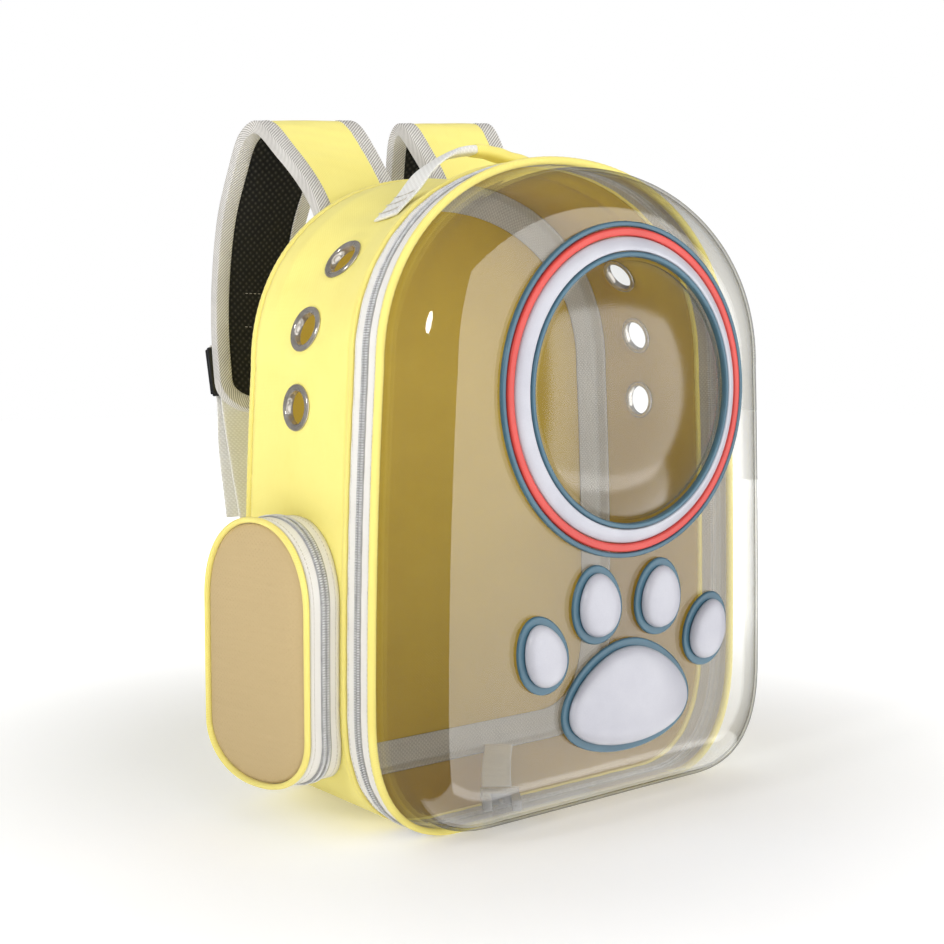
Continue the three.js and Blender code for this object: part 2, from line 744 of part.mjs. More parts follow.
// Binding folded over the strap's edge, down one side, round the tip and up the other
function strapBinding(side) {
  const route = strapRoute(side);
  const half = STRAP_WIDTH / 2;
  const end = route.length - STRAP_TIP;
  const down = Array.from({ length: STRAP_STEPS }, (_, i) => (
    { s: (end * i) / STRAP_STEPS, a: -half, inS: 0, inA: 1 }));
  const bends = 2 * TIP_BENDS;
  const tip = Array.from({ length: bends + 1 }, (_, i) => {
    const angle = (i / bends) * Math.PI;
    return {
      s: end + STRAP_TIP * Math.sin(angle),
      a: -half * Math.cos(angle),
      inS: -Math.sin(angle),
      inA: Math.cos(angle),
    };
  });
  const up = down.map(({ s }) => ({ s, a: half, inS: 0, inA: -1 })).reverse();
  const low = padLow - STRAP_SLACK;
  const high = coverHigh + STRAP_SLACK;
  const section = [
    [BINDING_WIDTH, high + BINDING_THICKNESS],
    [-BINDING_THICKNESS, high + BINDING_THICKNESS],
    [-BINDING_THICKNESS, low - BINDING_THICKNESS],
    [BINDING_WIDTH, low - BINDING_THICKNESS],
    [BINDING_WIDTH, low],
    [0, low],
    [0, high],
    [BINDING_WIDTH, high],
  ];
  const rings = [...down, ...tip, ...up].map(({ s, a, inS, inA }) => section.map(([deep, out]) => (
    strapPoint(route, s + deep * inS, a + deep * inA, out))));
  return loft(rings, false, capOf(section.map(([x, y]) => new THREE.Vector2(x, y))));
}

// A flat web carried along places, each with its across direction, half width and half thickness
function web(stations) {
  return loft(stations.map(({ place, across, outward, half, thick }) => [
    [-half, -thick], [half, -thick], [half, thick], [-half, thick],
  ].map(([a, n]) => place.clone().addScaledVector(across, a).addScaledVector(outward, n))));
}

// A level web of the straps' webbing through places
function flatWeb(places) {
  const across = new THREE.Vector3(1, 0, 0);
  return web(places.map((place, i) => {
    const way = places[Math.min(i + 1, places.length - 1)].clone().sub(places[Math.max(i - 1, 0)]);
    return {
      place,
      across,
      outward: new THREE.Vector3().crossVectors(across, way).normalize(),
      half: WEBBING_WIDTH / 2,
      thick: WEBBING_THICKNESS / 2,
    };
  }));
}

// The lock hangs behind the strap's lower end, its face along the strap
function lockFrame(side) {
  const route = strapRoute(side);
  const place = route.at(route.length - LOCK_FROM_TIP);
  const up = new THREE.Vector3().crossVectors(place.across, place.outward);
  const standoff = coverHigh + STRAP_SLACK + BINDING_THICKNESS + LOCK_STANDOFF;
  const middle = place.middle.clone().addScaledVector(place.outward, standoff);
  const basis = new THREE.Matrix4().makeBasis(place.across.clone().negate(), up, place.outward);
  basis.setPosition(middle);
  return basis;
}

// Places given as [up, out] in the lock's frame
function inLock(frame, places) {
  return places.map(([up, out]) => new THREE.Vector3(0, up, out).applyMatrix4(frame));
}

function ladderLock(side) {
  const shape = new THREE.Shape();
  const half = LOCK_WIDTH / 2;
  const tall = LOCK_HEIGHT / 2;
  const chamfer = LOCK_BAR * 0.7;
  shape.moveTo(-half + chamfer, -tall);
  shape.lineTo(half - chamfer, -tall);
  shape.lineTo(half, -tall + chamfer);
  shape.lineTo(half, tall - chamfer);
  shape.lineTo(half - chamfer, tall);
  shape.lineTo(-half + chamfer, tall);
  shape.lineTo(-half, tall - chamfer);
  shape.lineTo(-half, -tall + chamfer);
  const slotHeight = (LOCK_HEIGHT - 3 * LOCK_BAR) / 2;
  for (const end of [-1, 1]) {
    const slot = new THREE.Path();
    const middle = end * (LOCK_BAR + slotHeight) / 2;
    const reach = half - LOCK_FRAME;
    slot.moveTo(-reach, middle - slotHeight / 2);
    slot.lineTo(-reach, middle + slotHeight / 2);
    slot.lineTo(reach, middle + slotHeight / 2);
    slot.lineTo(reach, middle - slotHeight / 2);
    shape.holes.push(slot);
  }
  const plate = new THREE.ExtrudeGeometry(shape, { depth: LOCK_THICKNESS, bevelEnabled: false });
  return plate.translate(0, 0, -LOCK_THICKNESS / 2).applyMatrix4(lockFrame(side));
}

// Route of a web round one of the lock's bars, from its strap side to its outer side; way is
// -1 where the web passes under the bar and 1 where it passes over it
function roundBar(bar, way) {
  const reach = LOCK_BAR / 2 + WEBBING_THICKNESS / 2 + 2 * CLEARANCE;
  const out = LOCK_THICKNESS / 2 + WEBBING_THICKNESS / 2 + 2 * CLEARANCE;
  return [
    [bar, -out],
    [bar + way * reach * 0.75, -out],
    [bar + way * reach, -out * 0.6],
    [bar + way * reach, out * 0.6],
    [bar + way * reach * 0.75, out],
    [bar, out],
  ];
}

// Short tab that holds the lock: it lies on the strap and goes round the lock's top bar
function lockTab(side) {
  const frame = lockFrame(side);
  const route = strapRoute(side);
  const topBar = (LOCK_HEIGHT - LOCK_BAR) / 2;
  const lift = coverHigh + 2 * CLEARANCE + WEBBING_THICKNESS / 2;
  const onStrap = (up) => strapPoint(route, route.length - LOCK_FROM_TIP - up, 0, lift);
  return flatWeb([
    onStrap(topBar + TAB_LENGTH),
    onStrap(topBar + TAB_LENGTH / 2),
    ...inLock(frame, roundBar(topBar, -1)),
    ...inLock(frame, [[topBar + LOCK_BAR, LOCK_THICKNESS / 2 + WEBBING_THICKNESS]]),
  ]);
}

// Lower webbing: up from the base seam, round the lock's lower bar, and down as a loose tail
function lowerWebbing(side) {
  const frame = lockFrame(side);
  const lowBar = -(LOCK_HEIGHT - LOCK_BAR) / 2;
  const wrap = roundBar(lowBar, 1);
  const [[, near], [, far]] = [wrap[0], wrap.at(-1)];
  const panelFace = BODY_DEPTH + PANEL_THICKNESS - PANEL_BASE + PANEL_PUFF;
  const seat = panelFace + CLEARANCE + WEBBING_THICKNESS / 2;
  const anchor = new THREE.Vector3(side * ANCHOR_OUT, seat, ANCHOR_HEIGHT);
  const [below] = inLock(frame, [[lowBar - LOCK_FROM_TIP * 0.7, near]]);
  return flatWeb([
    anchor,
    anchor.clone().add(new THREE.Vector3(0, CLEARANCE, WEBBING_WIDTH)),
    anchor.clone().lerp(below, 0.5),
    below,
    ...inLock(frame, [
      [lowBar - LOCK_BAR, near],
      ...wrap,
      [lowBar - LOCK_BAR * 1.6, far],
      [lowBar - TAIL_LENGTH * 0.4, far + 6],
      [lowBar - TAIL_LENGTH, far + 8],
    ]),
  ]);
}

function grabHandle() {
  const half = HANDLE_WIDTH / 2;
  const onCloth = (x, y) => sagged(x, y, heightAt(x));
  const places = HANDLE_TABLE.map(({ across, lift }) => {
    const cloth = onCloth(across, HANDLE_BACK);
    const outward = new THREE.Vector3(cloth.x, 0, cloth.z - SPRING_HEIGHT).normalize();
    return cloth.addScaledVector(outward, lift);
  });
  const curve = new THREE.CatmullRomCurve3(places);
  const steps = 20;
  return web(Array.from({ length: steps + 1 }, (_, i) => {
    const share = i / steps;
    const row = share * (HANDLE_TABLE.length - 1);
    const low = Math.min(Math.floor(row), HANDLE_TABLE.length - 2);
    const read = (key) => lerp(HANDLE_TABLE[low][key], HANDLE_TABLE[low + 1][key], row - low);
    const x = read('across');
    const across = onCloth(x, HANDLE_BACK + half).sub(onCloth(x, HANDLE_BACK - half)).normalize();
    return {
      place: curve.getPoint(share),
      across,
      outward: new THREE.Vector3().crossVectors(across, curve.getTangent(share)),
      half: lerp(HANDLE_WIDTH, GRIP_WIDTH, read('grip')) / 2,
      thick: lerp(HANDLE_THICKNESS, GRIP_THICKNESS, read('grip')) / 2,
    };
  }));
}

function leashStations() {
  const places = LEASH_TABLE.map(({ across, back, rise }) => new THREE.Vector3(across, back, FABRIC + rise));
  const curve = new THREE.CatmullRomCurve3(places);
  const steps = 10;
  return Array.from({ length: steps + 1 }, (_, i) => {
    const tangent = curve.getTangent(i / steps);
    const across = new THREE.Vector3(tangent.y, -tangent.x, 0).normalize();
    return {
      place: curve.getPoint(i / steps),
      tangent,
      across,
      outward: new THREE.Vector3().crossVectors(across, tangent),
      half: LEASH_WIDTH / 2,
      thick: LEASH_THICKNESS / 2,
    };
  });
}

// Side-release clip half at the leash's end: a flat body with a slot and two prongs
function leashClip() {
  const { place, tangent, across } = leashStations().at(-1);
  const forward = new THREE.Vector3(tangent.x, tangent.y, 0).normalize();
  const body = new THREE.Shape();
  const half = CLIP_WIDTH / 2;
  const prong = CLIP_WIDTH * 0.26;
  const root = CLIP_LENGTH * 0.55;
  body.moveTo(-half, 0);
  body.lineTo(half, 0);
  body.lineTo(half, CLIP_LENGTH);
  body.lineTo(half - prong, CLIP_LENGTH);
  body.lineTo(half - prong, root);
  body.lineTo(-half + prong, root);
  body.lineTo(-half + prong, CLIP_LENGTH);
  body.lineTo(-half, CLIP_LENGTH);
  const plate = new THREE.ExtrudeGeometry(body, { depth: CLIP_THICKNESS, bevelEnabled: false });
  plate.translate(0, 0, -CLIP_THICKNESS / 2);
  const start = place.clone().addScaledVector(forward, 2 * CLEARANCE);
  start.z += CLIP_THICKNESS / 2 - LEASH_THICKNESS / 2;
  const basis = new THREE.Matrix4().makeBasis(across, forward, across.clone().cross(forward));
  basis.setPosition(start);
  return plate.applyMatrix4(basis);
}

// Clear front and its window
add('clear_shell', clearShell(), CLEAR);
add('window_dome', dome(), CLEAR);
add('ring_bead_inner', onFace(rounded(WINDOW_RADIUS, beadOuter, beadBase, beadBase + INNER_BEAD_HEIGHT),
  windowSides), TEAL);
add('window_ring', onFace([
  [ringInner, CLEARANCE],
  [ringOuter, CLEARANCE],
  [ringOuter, RING_OUTER_HEIGHT],
  [lerp(ringInner, ringOuter, 0.6), lerp(RING_INNER_HEIGHT, RING_OUTER_HEIGHT, 0.45)],
  [ringInner, RING_INNER_HEIGHT],
  [ringInner, CLEARANCE],
], windowSides), VINYL_WHITE);
add('ring_stripe', onFace(rounded(stripeInner, stripeOuter, CLEARANCE, STRIPE_HEIGHT), windowSides), RED);
add('ring_bead_outer', onFace(rounded(outerBeadInner, outerBeadInner + OUTER_BEAD_WIDTH, CLEARANCE,
  OUTER_BEAD_HEIGHT), windowSides), TEAL);

// Badge under the window
const padShape = {
  across: 0,
  height: PAD_HEIGHT,
  halfWidth: PAD_HALF_WIDTH,
  halfHeight: PAD_HALF_HEIGHT,
  lean: 0,
  waist: PAD_WAIST,
};
add('paw_edge', edging(padShape, 24), TEAL);
add('paw_pad', puffed(padShape, 24, PAD_PUFF), VINYL_WHITE);
for (const toe of TOE_TABLE) {
  const shape = { ...toe, height: PAD_HEIGHT + toe.up, waist: 1 };
  add(`toe_edge_${toe.name}`, edging(shape, 14), TEAL);
  add(`toe_pad_${toe.name}`, puffed(shape, 14, TOE_PUFF), VINYL_WHITE);
}

// Zip and corded seams
const tapeInset = TAPE_DROP;
add('front_piping', cordedSeam(0, PIPING_RADIUS, PIPING_PROUD), PIPING_YELLOW);
add('front_tape', band(frontTapeStart, frontTapeEnd, tapeInset, TAPE_THICKNESS), TAPE_WHITE);
add('rear_tape', band(rearTapeStart, rearTapeEnd, tapeInset, TAPE_THICKNESS), TAPE_WHITE);
add('zip_coil', around([
  { y: coilMiddle - COIL_WIDTH / 2, inset: tapeInset - CLEARANCE },
  { y: coilMiddle - COIL_WIDTH / 3, inset: tapeInset - COIL_THICKNESS * 0.6 },
  { y: coilMiddle + COIL_WIDTH / 3, inset: tapeInset - COIL_THICKNESS * 0.6 },
  { y: coilMiddle + COIL_WIDTH / 2, inset: tapeInset - CLEARANCE },
]), COIL_GREY);
add('zip_slider', zipSlider(), METAL);
add('gusset_piping', cordedSeam(gussetPipingY, SMALL_PIPING_RADIUS, SMALL_PIPING_PROUD), PIPING_YELLOW);

// Fabric body
add('gusset', gusset(), YELLOW);
add('rear_piping', cordedSeam(BODY_DEPTH, PIPING_RADIUS, PIPING_PROUD), PIPING_YELLOW);
add('back_panel', backPanel(), YELLOW);
const seamTapeEnd = BODY_DEPTH - PANEL_BASE - CLEARANCE;
add('seam_tape', band(sagEnd, seamTapeEnd, FABRIC + CLEARANCE, TAPE_THICKNESS), GREY_WEBBING);
add('grab_handle', grabHandle(), TAPE_WHITE);
add('leash_webbing', web(leashStations()), GREY_WEBBING);
add('leash_clip', leashClip(), GREY_PLASTIC);

// Pieces in mirrored pairs
for (const [word, side] of [['left', -1], ['right', 1]]) {
  for (const { name, back, height } of EYELET_TABLE) {
    const { point, normal } = gussetPlace(side, back, height);
    add(`eyelet_${word}_${name}`, turnTo(eyelet(), normal, point), METAL);
  }
  add(`pocket_${word}_tape`, pocketBand(side, 0, POCKET_TAPE_END), TAPE_WHITE);
  add(`pocket_${word}_coil`, pocketCoil(side), COIL_GREY);
  add(`pocket_${word}_piping`, pocketPiping(side), PIPING_YELLOW);
  add(`pocket_${word}_face`, pocketFace(side), TAN);
  add(`strap_${word}_pad`, strapLayer(side, STRAP_INSET, padLow, padHigh), BLACK_MESH);
  add(`strap_${word}_cover`, strapLayer(side, STRAP_INSET, padHigh + CLEARANCE, coverHigh), YELLOW);
  add(`strap_${word}_binding`, strapBinding(side), TAPE_WHITE);
  add(`ladder_lock_${word}`, ladderLock(side), BLACK_PLASTIC);
  add(`lock_tab_${word}`, lockTab(side), TAPE_WHITE);
  add(`webbing_${word}`, lowerWebbing(side), TAPE_WHITE);
}

// The origin is on the floor, under the middle of the whole carrier
const extent = new THREE.Box3().setFromObject(pack);
pack.position.y = -(extent.min.y + extent.max.y) / 2;
pack.updateMatrixWorld(true);

export default pack;
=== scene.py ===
import math

import bmesh
import bpy
import numpy as np
from mathutils import Matrix, Vector


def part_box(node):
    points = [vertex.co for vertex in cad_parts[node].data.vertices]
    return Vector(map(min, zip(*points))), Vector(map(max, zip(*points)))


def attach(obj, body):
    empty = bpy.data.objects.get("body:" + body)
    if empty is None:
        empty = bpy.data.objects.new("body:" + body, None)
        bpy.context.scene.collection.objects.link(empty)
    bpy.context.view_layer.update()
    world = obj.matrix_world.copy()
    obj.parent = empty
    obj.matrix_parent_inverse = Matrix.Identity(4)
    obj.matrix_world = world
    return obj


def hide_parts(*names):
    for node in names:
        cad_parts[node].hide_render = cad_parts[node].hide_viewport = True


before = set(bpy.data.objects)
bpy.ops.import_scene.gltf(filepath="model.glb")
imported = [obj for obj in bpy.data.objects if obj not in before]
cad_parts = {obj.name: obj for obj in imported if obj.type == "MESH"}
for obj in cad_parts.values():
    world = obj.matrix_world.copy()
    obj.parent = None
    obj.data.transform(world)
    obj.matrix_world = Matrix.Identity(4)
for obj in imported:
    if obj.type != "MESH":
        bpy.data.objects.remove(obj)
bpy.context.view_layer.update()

scene = bpy.context.scene
MM = 0.001

# Studio: the camera stands to the front left, a little above the window's middle, and looks
# slightly down. The floor is plain and pale and glows as painted light, dimmer near the carrier so
# its shadow shows; the lamps' light comes from soft boxes.
CAMERA_PLACE = (-0.6322, -0.79296, 0.2946)
CAMERA_TURN = math.radians(38.6)
CAMERA_DIP = math.radians(4.46)
CAMERA_LENS = 54.3
FLOOR_HALF = 6.0

camera_data = bpy.data.cameras.new("camera")
camera_data.lens = CAMERA_LENS
camera_data.sensor_width = 36.0
camera = bpy.data.objects.new("camera", camera_data)
camera.location = CAMERA_PLACE
look = Vector((
    math.sin(CAMERA_TURN) * math.cos(CAMERA_DIP),
    math.cos(CAMERA_TURN) * math.cos(CAMERA_DIP),
    -math.sin(CAMERA_DIP),
))
camera.rotation_euler = look.to_track_quat("-Z", "Y").to_euler()
scene.collection.objects.link(camera)
scene.camera = camera
scene.view_settings.view_transform = "Standard"


def tone(red, green, blue):
    """A colour read off a screen, as the light that a shader works with"""
    shares = [value / 255 for value in (red, green, blue)]
    light = [s / 12.92 if s <= 0.04045 else ((s + 0.055) / 1.055) ** 2.4 for s in shares]
    return (*light, 1.0)


def soft_box(name, place, aim, size, power, mirrored=True, shape="RECTANGLE"):
    """A soft light; where mirrored is false it lights the cloth but doesn't show in glossy faces"""
    lamp = bpy.data.lights.new(name, "AREA")
    lamp.shape = shape
    lamp.size, lamp.size_y = size
    lamp.energy = power
    box = bpy.data.objects.new(name, lamp)
    box.location = place
    box.rotation_euler = (Vector(aim) - Vector(place)).to_track_quat("-Z", "Y").to_euler()
    box.visible_camera = False
    box.visible_glossy = mirrored
    scene.collection.objects.link(box)


soft_box("box_front", (1.03, -1.9, -0.15), (1.03, 0.0, -0.15), (4.1, 4.4), 116)
soft_box("box_left", (-1.95, 0.15, 1.2), (0, 0, 0.25), (1.8, 1.5), 12.5, mirrored=False)
soft_box("box_top", (-0.2, 0.1, 2.1), (0, 0, 0.2), (1.8, 1.8), 8, mirrored=False)
soft_box("lamp_corner", (-1.9, -0.25, 1.0), (0, 0, 0.3), (0.32, 0.4), 7, shape="ELLIPSE")
soft_box("box_back", (1.6, 1.7, 0.9), (0, 0, 0.3), (2.2, 2.0), 18, mirrored=False)
soft_box("box_under", (1.03, -0.65, -1.6), (1.03, -0.649, 0), (4.1, 2.5), 42)

world = bpy.data.worlds.new("studio")
scene.world = world
world.use_nodes = True
world_nodes, world_links = world.node_tree.nodes, world.node_tree.links
around_light = world_nodes["Background"]
around_light.inputs["Color"].default_value = (1, 1, 1, 1)
around_light.inputs["Strength"].default_value = 0.14
backdrop_light = world_nodes.new("ShaderNodeBackground")
backdrop_light.inputs["Strength"].default_value = 1.0
backdrop_light.inputs["Color"].default_value = (1, 1, 1, 1)
seen = world_nodes.new("ShaderNodeLightPath")
world_mix = world_nodes.new("ShaderNodeMixShader")
world_links.new(seen.outputs["Is Camera Ray"], world_mix.inputs["Fac"])
world_links.new(around_light.outputs[0], world_mix.inputs[1])
world_links.new(backdrop_light.outputs[0], world_mix.inputs[2])
world_links.new(world_mix.outputs[0], world_nodes["World Output"].inputs["Surface"])


class Finish:
    """A new material and the few node moves that every finish here is made with"""

    def __init__(self, name, roughness=0.5):
        self.material = bpy.data.materials.new(name)
        self.material.use_nodes = True
        self.nodes = self.material.node_tree.nodes
        self.links = self.material.node_tree.links
        self.shader = self.nodes["Principled BSDF"]
        self.shader.inputs["Roughness"].default_value = roughness

    def put(self, target, value):
        if isinstance(value, bpy.types.NodeSocket):
            self.links.new(value, target)
        else:
            target.default_value = value

    def sum(self, operation, first, second=0.0):
        node = self.nodes.new("ShaderNodeMath")
        node.operation = operation
        self.put(node.inputs[0], first)
        self.put(node.inputs[1], second)
        return node.outputs[0]

    def place(self, axes="UV"):
        """Two lengths in metres over the surface: its own map's, or two of the object's axes"""
        split = self.nodes.new("ShaderNodeSeparateXYZ")
        if axes == "UV":
            where = self.nodes.new("ShaderNodeUVMap")
            where.uv_map = "weave"
            self.links.new(where.outputs["UV"], split.inputs[0])
            return split.outputs["X"], split.outputs["Y"]
        where = self.nodes.new("ShaderNodeTexCoord")
        self.links.new(where.outputs["Object"], split.inputs[0])
        return split.outputs[axes[0]], split.outputs[axes[1]]

    def noise(self, size, detail=2.0, vector=None):
        """Soft noise whose patches are about a size in metres"""
        node = self.nodes.new("ShaderNodeTexNoise")
        node.inputs["Scale"].default_value = 1.0 / size
        node.inputs["Detail"].default_value = detail
        if vector is None:
            where = self.nodes.new("ShaderNodeTexCoord")
            vector = where.outputs["Object"]
        self.links.new(vector, node.inputs["Vector"])
        return node.outputs[0]

    def joined(self, x, y, z=0.0):
        node = self.nodes.new("ShaderNodeCombineXYZ")
        for socket, value in zip(node.inputs, (x, y, z)):
            self.put(socket, value)
        return node.outputs[0]

    def ramp(self, value, stops):
        """Colours or greys at places between 0 and 1"""
        node = self.nodes.new("ShaderNodeValToRGB")
        while len(node.color_ramp.elements) < len(stops):
            node.color_ramp.elements.new(0.5)
        for element, (position, colour) in zip(node.color_ramp.elements, stops):
            element.position = position
            element.color = colour if hasattr(colour, "__len__") else (colour, colour, colour, 1)
        self.links.new(value, node.inputs[0])
        return node.outputs[0]

    def colour(self, value):
        self.put(self.shader.inputs["Base Color"], value)

    def bump(self, height, depth, strength, target):
        node = self.nodes.new("ShaderNodeBump")
        node.inputs["Distance"].default_value = depth
        node.inputs["Strength"].default_value = strength
        self.links.new(height, node.inputs["Height"])
        self.links.new(node.outputs[0], target)

    def relief(self, height, depth):
        self.bump(height, depth, 1.0, self.shader.inputs["Normal"])


def speckled(name, roughness, patch, deep, colour, grain, depth, metallic=0.0):
    """A plain finish that drifts between two tones in patches, with a fine grain in relief"""
    finish = Finish(name, roughness)
    finish.colour(finish.ramp(finish.noise(patch), [(0.3, tone(*deep)), (0.7, tone(*colour))]))
    finish.shader.inputs["Metallic"].default_value = metallic
    finish.relief(finish.noise(grain), depth)
    return finish.material


floor_finish = Finish("studio_floor", 0.6)
floor_finish.colour(floor_finish.ramp(floor_finish.noise(0.5), [(0.3, 0.93), (0.7, 0.95)]))
floor_finish.shader.inputs["Emission Color"].default_value = (1, 1, 1, 1)
floor_x, floor_y = floor_finish.place("XY")
floor_far = floor_finish.sum("ADD", floor_finish.sum("MULTIPLY", floor_x, floor_x),
                             floor_finish.sum("MULTIPLY", floor_y, floor_y))
# Painted light: the floor glows, weakly near the carrier so its shadow shows and fully white far off.
floor_glow = floor_finish.ramp(floor_finish.sum("MULTIPLY", floor_far, 0.2), [(0.012, 0.2), (0.1, 1.0)])
floor_finish.put(floor_finish.shader.inputs["Emission Strength"], floor_glow)
floor_mesh = bpy.data.meshes.new("floor")
floor_mesh.from_pydata(
    [(x * FLOOR_HALF, y * FLOOR_HALF, 0) for x, y in ((-1, -1), (1, -1), (1, 1), (-1, 1))],
    [], [(0, 1, 2, 3)])
floor_mesh.materials.append(floor_finish.material)
floor = bpy.data.objects.new("floor", floor_mesh)
scene.collection.objects.link(floor)
floor.visible_glossy = False

# Gusset: the yellow cloth band that runs right round the body, from the zip at the front to the
# back panel's seam. It is plain-woven polyester on a thin foam; its inside face is the same cloth,
# coloured a darker ochre as painted shade.
# Over the arch it sags a little, and three holes on each side take the eyelets. A fold's row is its
# depth, its length along the band, its slant over the band's depth and its phase.
HALF_WIDTH, BODY_HEIGHT = 160.0, 424.0
HALF_SPRING, SPRING_HEIGHT = 153.0, 290.0
ARCH_POWER = 2.1
CORNER_WIDTH, CORNER_HEIGHT, CORNER_POWER = 70.0, 85.0, 2.5
GUSSET_FRONT, SAG_END, GUSSET_REAR = 30.7, 123.7, 142.1
SAG, SAG_START, SAG_FULL = 8.0, 285.0, 365.0
CLOTH = 2.0
EYELETS = {"1": (80.0, 363.0), "2": (86.0, 315.0), "3": (88.0, 265.0)}
EYELET_CUT_RADIUS, EYELET_CUT_DEPTH = 11.6, 14.0
SEAT_RADIUS, SEAT_BLEND_RADIUS, SEAT_REACH, SEAT_PROUD = 16.5, 24.0, 20.0, 0.1
PUCKER_DEPTH, PUCKER_REACH = 0.16, 7.0
FOLDS_START, FOLDS_FULL = 225.0, 330.0
FOLDS = [(0.5, 94, 0.7, 0), (0.35, 57, -1.1, 2), (0.25, 31, 0.4, 0.7)]
CREASE_DEPTH, CREASE_BACK, CREASE_HALF, CREASE_START, CREASE_FULL = 2.4, 41.0, 2.4, 388.0, 410.0
FRONT_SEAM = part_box("back_panel")[0][1] - 137.0 * MM


def half_rim(step, inset):
    """Half of the body's outline, from step 0 at the middle of the base to step 4 at the top"""
    low = np.maximum(inset, 0.0)
    half, spring = HALF_WIDTH - inset, HALF_SPRING - inset
    part = np.minimum(step.astype(int), 3)
    t = step - part
    turn, rise = (1 - t) * np.pi / 2, t * np.pi / 2
    cosine, sine = np.abs(np.cos(turn)), np.abs(np.sin(turn))
    wide, tall = CORNER_WIDTH - inset, CORNER_HEIGHT - low
    across = np.abs(np.cos(rise)) ** (2 / ARCH_POWER)
    up = np.abs(np.sin(rise)) ** (2 / ARCH_POWER)
    x = np.choose(part, [
        (half - wide) * t,
        half - wide * (1 - cosine ** (2 / CORNER_POWER)),
        half + (spring - half) * t**2,
        spring * across,
    ])
    z = np.choose(part, [
        low + 0 * t,
        low + tall * (1 - sine ** (2 / CORNER_POWER)),
        CORNER_HEIGHT + (SPRING_HEIGHT - CORNER_HEIGHT) * t,
        SPRING_HEIGHT + (BODY_HEIGHT - inset - SPRING_HEIGHT) * up,
    ])
    return x, z


fine_steps = np.linspace(0, 4, 16001)
fine_x, fine_z = half_rim(fine_steps, 0.0)
fine_run = np.concatenate([[0], np.cumsum(np.hypot(np.diff(fine_x), np.diff(fine_z)))])
GIRTH = 2 * fine_run[-1]


def rim(shares, inset=0.0):
    """The outline's x and z at shares of the way round from the middle of the base"""
    shares = np.mod(shares, 1.0)
    mirrored = shares > 0.5
    half_share = 2 * np.where(mirrored, 1 - shares, shares)
    x, z = half_rim(np.interp(half_share * fine_run[-1], fine_run, fine_steps), inset)
    return np.where(mirrored, -x, x), z


def body(x, y, z):
    """Points in metres from millimetres, with y counted from the front seam"""
    x, y, z = np.broadcast_arrays(x, y, z)
    return np.stack([x * MM, y * MM + FRONT_SEAM, z * MM], -1)


def ease(value, start, end):
    t = np.clip((value - start) / (end - start), 0, 1)
    return t * t * (3 - 2 * t)


def sagged(x, y, z):
    share = np.clip((y - GUSSET_FRONT) / (SAG_END - GUSSET_FRONT), 0, 1)
    sag = SAG * np.sin(share * np.pi) * ease(z, SAG_START, SAG_FULL)
    far = np.maximum(np.hypot(x, z - SPRING_HEIGHT), 1.0)
    return x - x / far * sag, y, z - (z - SPRING_HEIGHT) / far * sag


def half_width_at(z):
    return np.interp(z, fine_z[4001:], fine_x[4001:])


def height_at(x):
    return np.interp(-np.abs(x), -fine_x[12000:], fine_z[12000:])


def gusset_place(side, back, height):
    """A point on the gusset's outer face, and the way that face looks there"""
    def place(y, z):
        return np.array(sagged(side * half_width_at(z), y, z))
    step = 12.0
    up = place(back, height + step) - place(back, height - step)
    rearward = place(back + step, height) - place(back - step, height)
    normal = np.cross(rearward, up) * side
    return place(back, height), normal / np.linalg.norm(normal)


def skin(name, grid, material, round_rings=False, round_rows=False, caps=False, lining=None):
    """A quad mesh over grid[ring][row], with a map of lengths in metres for its weave"""
    rings, rows = grid.shape[:2]
    i, j = np.meshgrid(
        np.arange(rings if round_rings else rings - 1),
        np.arange(rows if round_rows else rows - 1), indexing="ij")
    near, far = i * rows, ((i + 1) % rings) * rows
    quads = np.stack([near + j, far + j, far + (j + 1) % rows, near + (j + 1) % rows], -1)
    quads = quads.reshape(-1, 4)
    along = np.linalg.norm(np.diff(grid, axis=0, append=grid[:1]), axis=-1).mean(axis=1)
    over = np.linalg.norm(np.diff(grid, axis=1, append=grid[:, :1]), axis=-1).mean(axis=0)
    along = np.concatenate([[0], np.cumsum(along)])
    over = np.concatenate([[0], np.cumsum(over)])
    corners = np.stack([
        np.stack([along[i + a], over[j + b]], -1) for a, b in ((0, 0), (1, 0), (1, 1), (0, 1))], 2)
    faces = quads.tolist()
    weave = corners.reshape(-1, 2)
    if caps:
        faces += [list(range(rows))[::-1], list(range((rings - 1) * rows, rings * rows))]
        weave = np.concatenate([weave, np.tile([0.0, 0.0], (2 * rows, 1))])
    mesh = bpy.data.meshes.new(name)
    mesh.from_pydata(grid.reshape(-1, 3).tolist(), [], faces)
    layer = mesh.uv_layers.new(name="weave")
    layer.data.foreach_set("uv", weave.astype(np.float32).ravel())
    mesh.materials.append(material)
    if lining is not None:
        mesh.materials.append(lining[0])
        index = np.isin(j.ravel(), lining[1]).astype(np.int32)
        index = np.concatenate([index, np.zeros(len(faces) - len(index), np.int32)])
        mesh.polygons.foreach_set("material_index", index)
    piece = bpy.data.objects.new(name, mesh)
    scene.collection.objects.link(piece)
    return closed_up(piece)


def closed_up(piece):
    """Doubles merged and faces turned outwards"""
    work = bmesh.new()
    work.from_mesh(piece.data)
    bmesh.ops.remove_doubles(work, verts=work.verts, dist=1e-6)
    bmesh.ops.dissolve_degenerate(work, edges=work.edges, dist=1e-7)
    bmesh.ops.recalc_face_normals(work, faces=work.faces)
    work.to_mesh(piece.data)
    work.free()
    piece.data.shade_smooth()
    return piece


def settle(piece):
    """The piece with its modifiers worked into its mesh"""
    graph = bpy.context.evaluated_depsgraph_get()
    made = bpy.data.meshes.new_from_object(piece.evaluated_get(graph))
    piece.modifiers.clear()
    piece.data = made
    piece.data.shade_smooth()
    return piece


def fitted(piece, slot, *nodes):
    """The piece rides on the carrier and stands for CAD nodes, which it hides; slot is not used"""
    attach(piece, "root")
    if nodes:
        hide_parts(*nodes)
    return piece


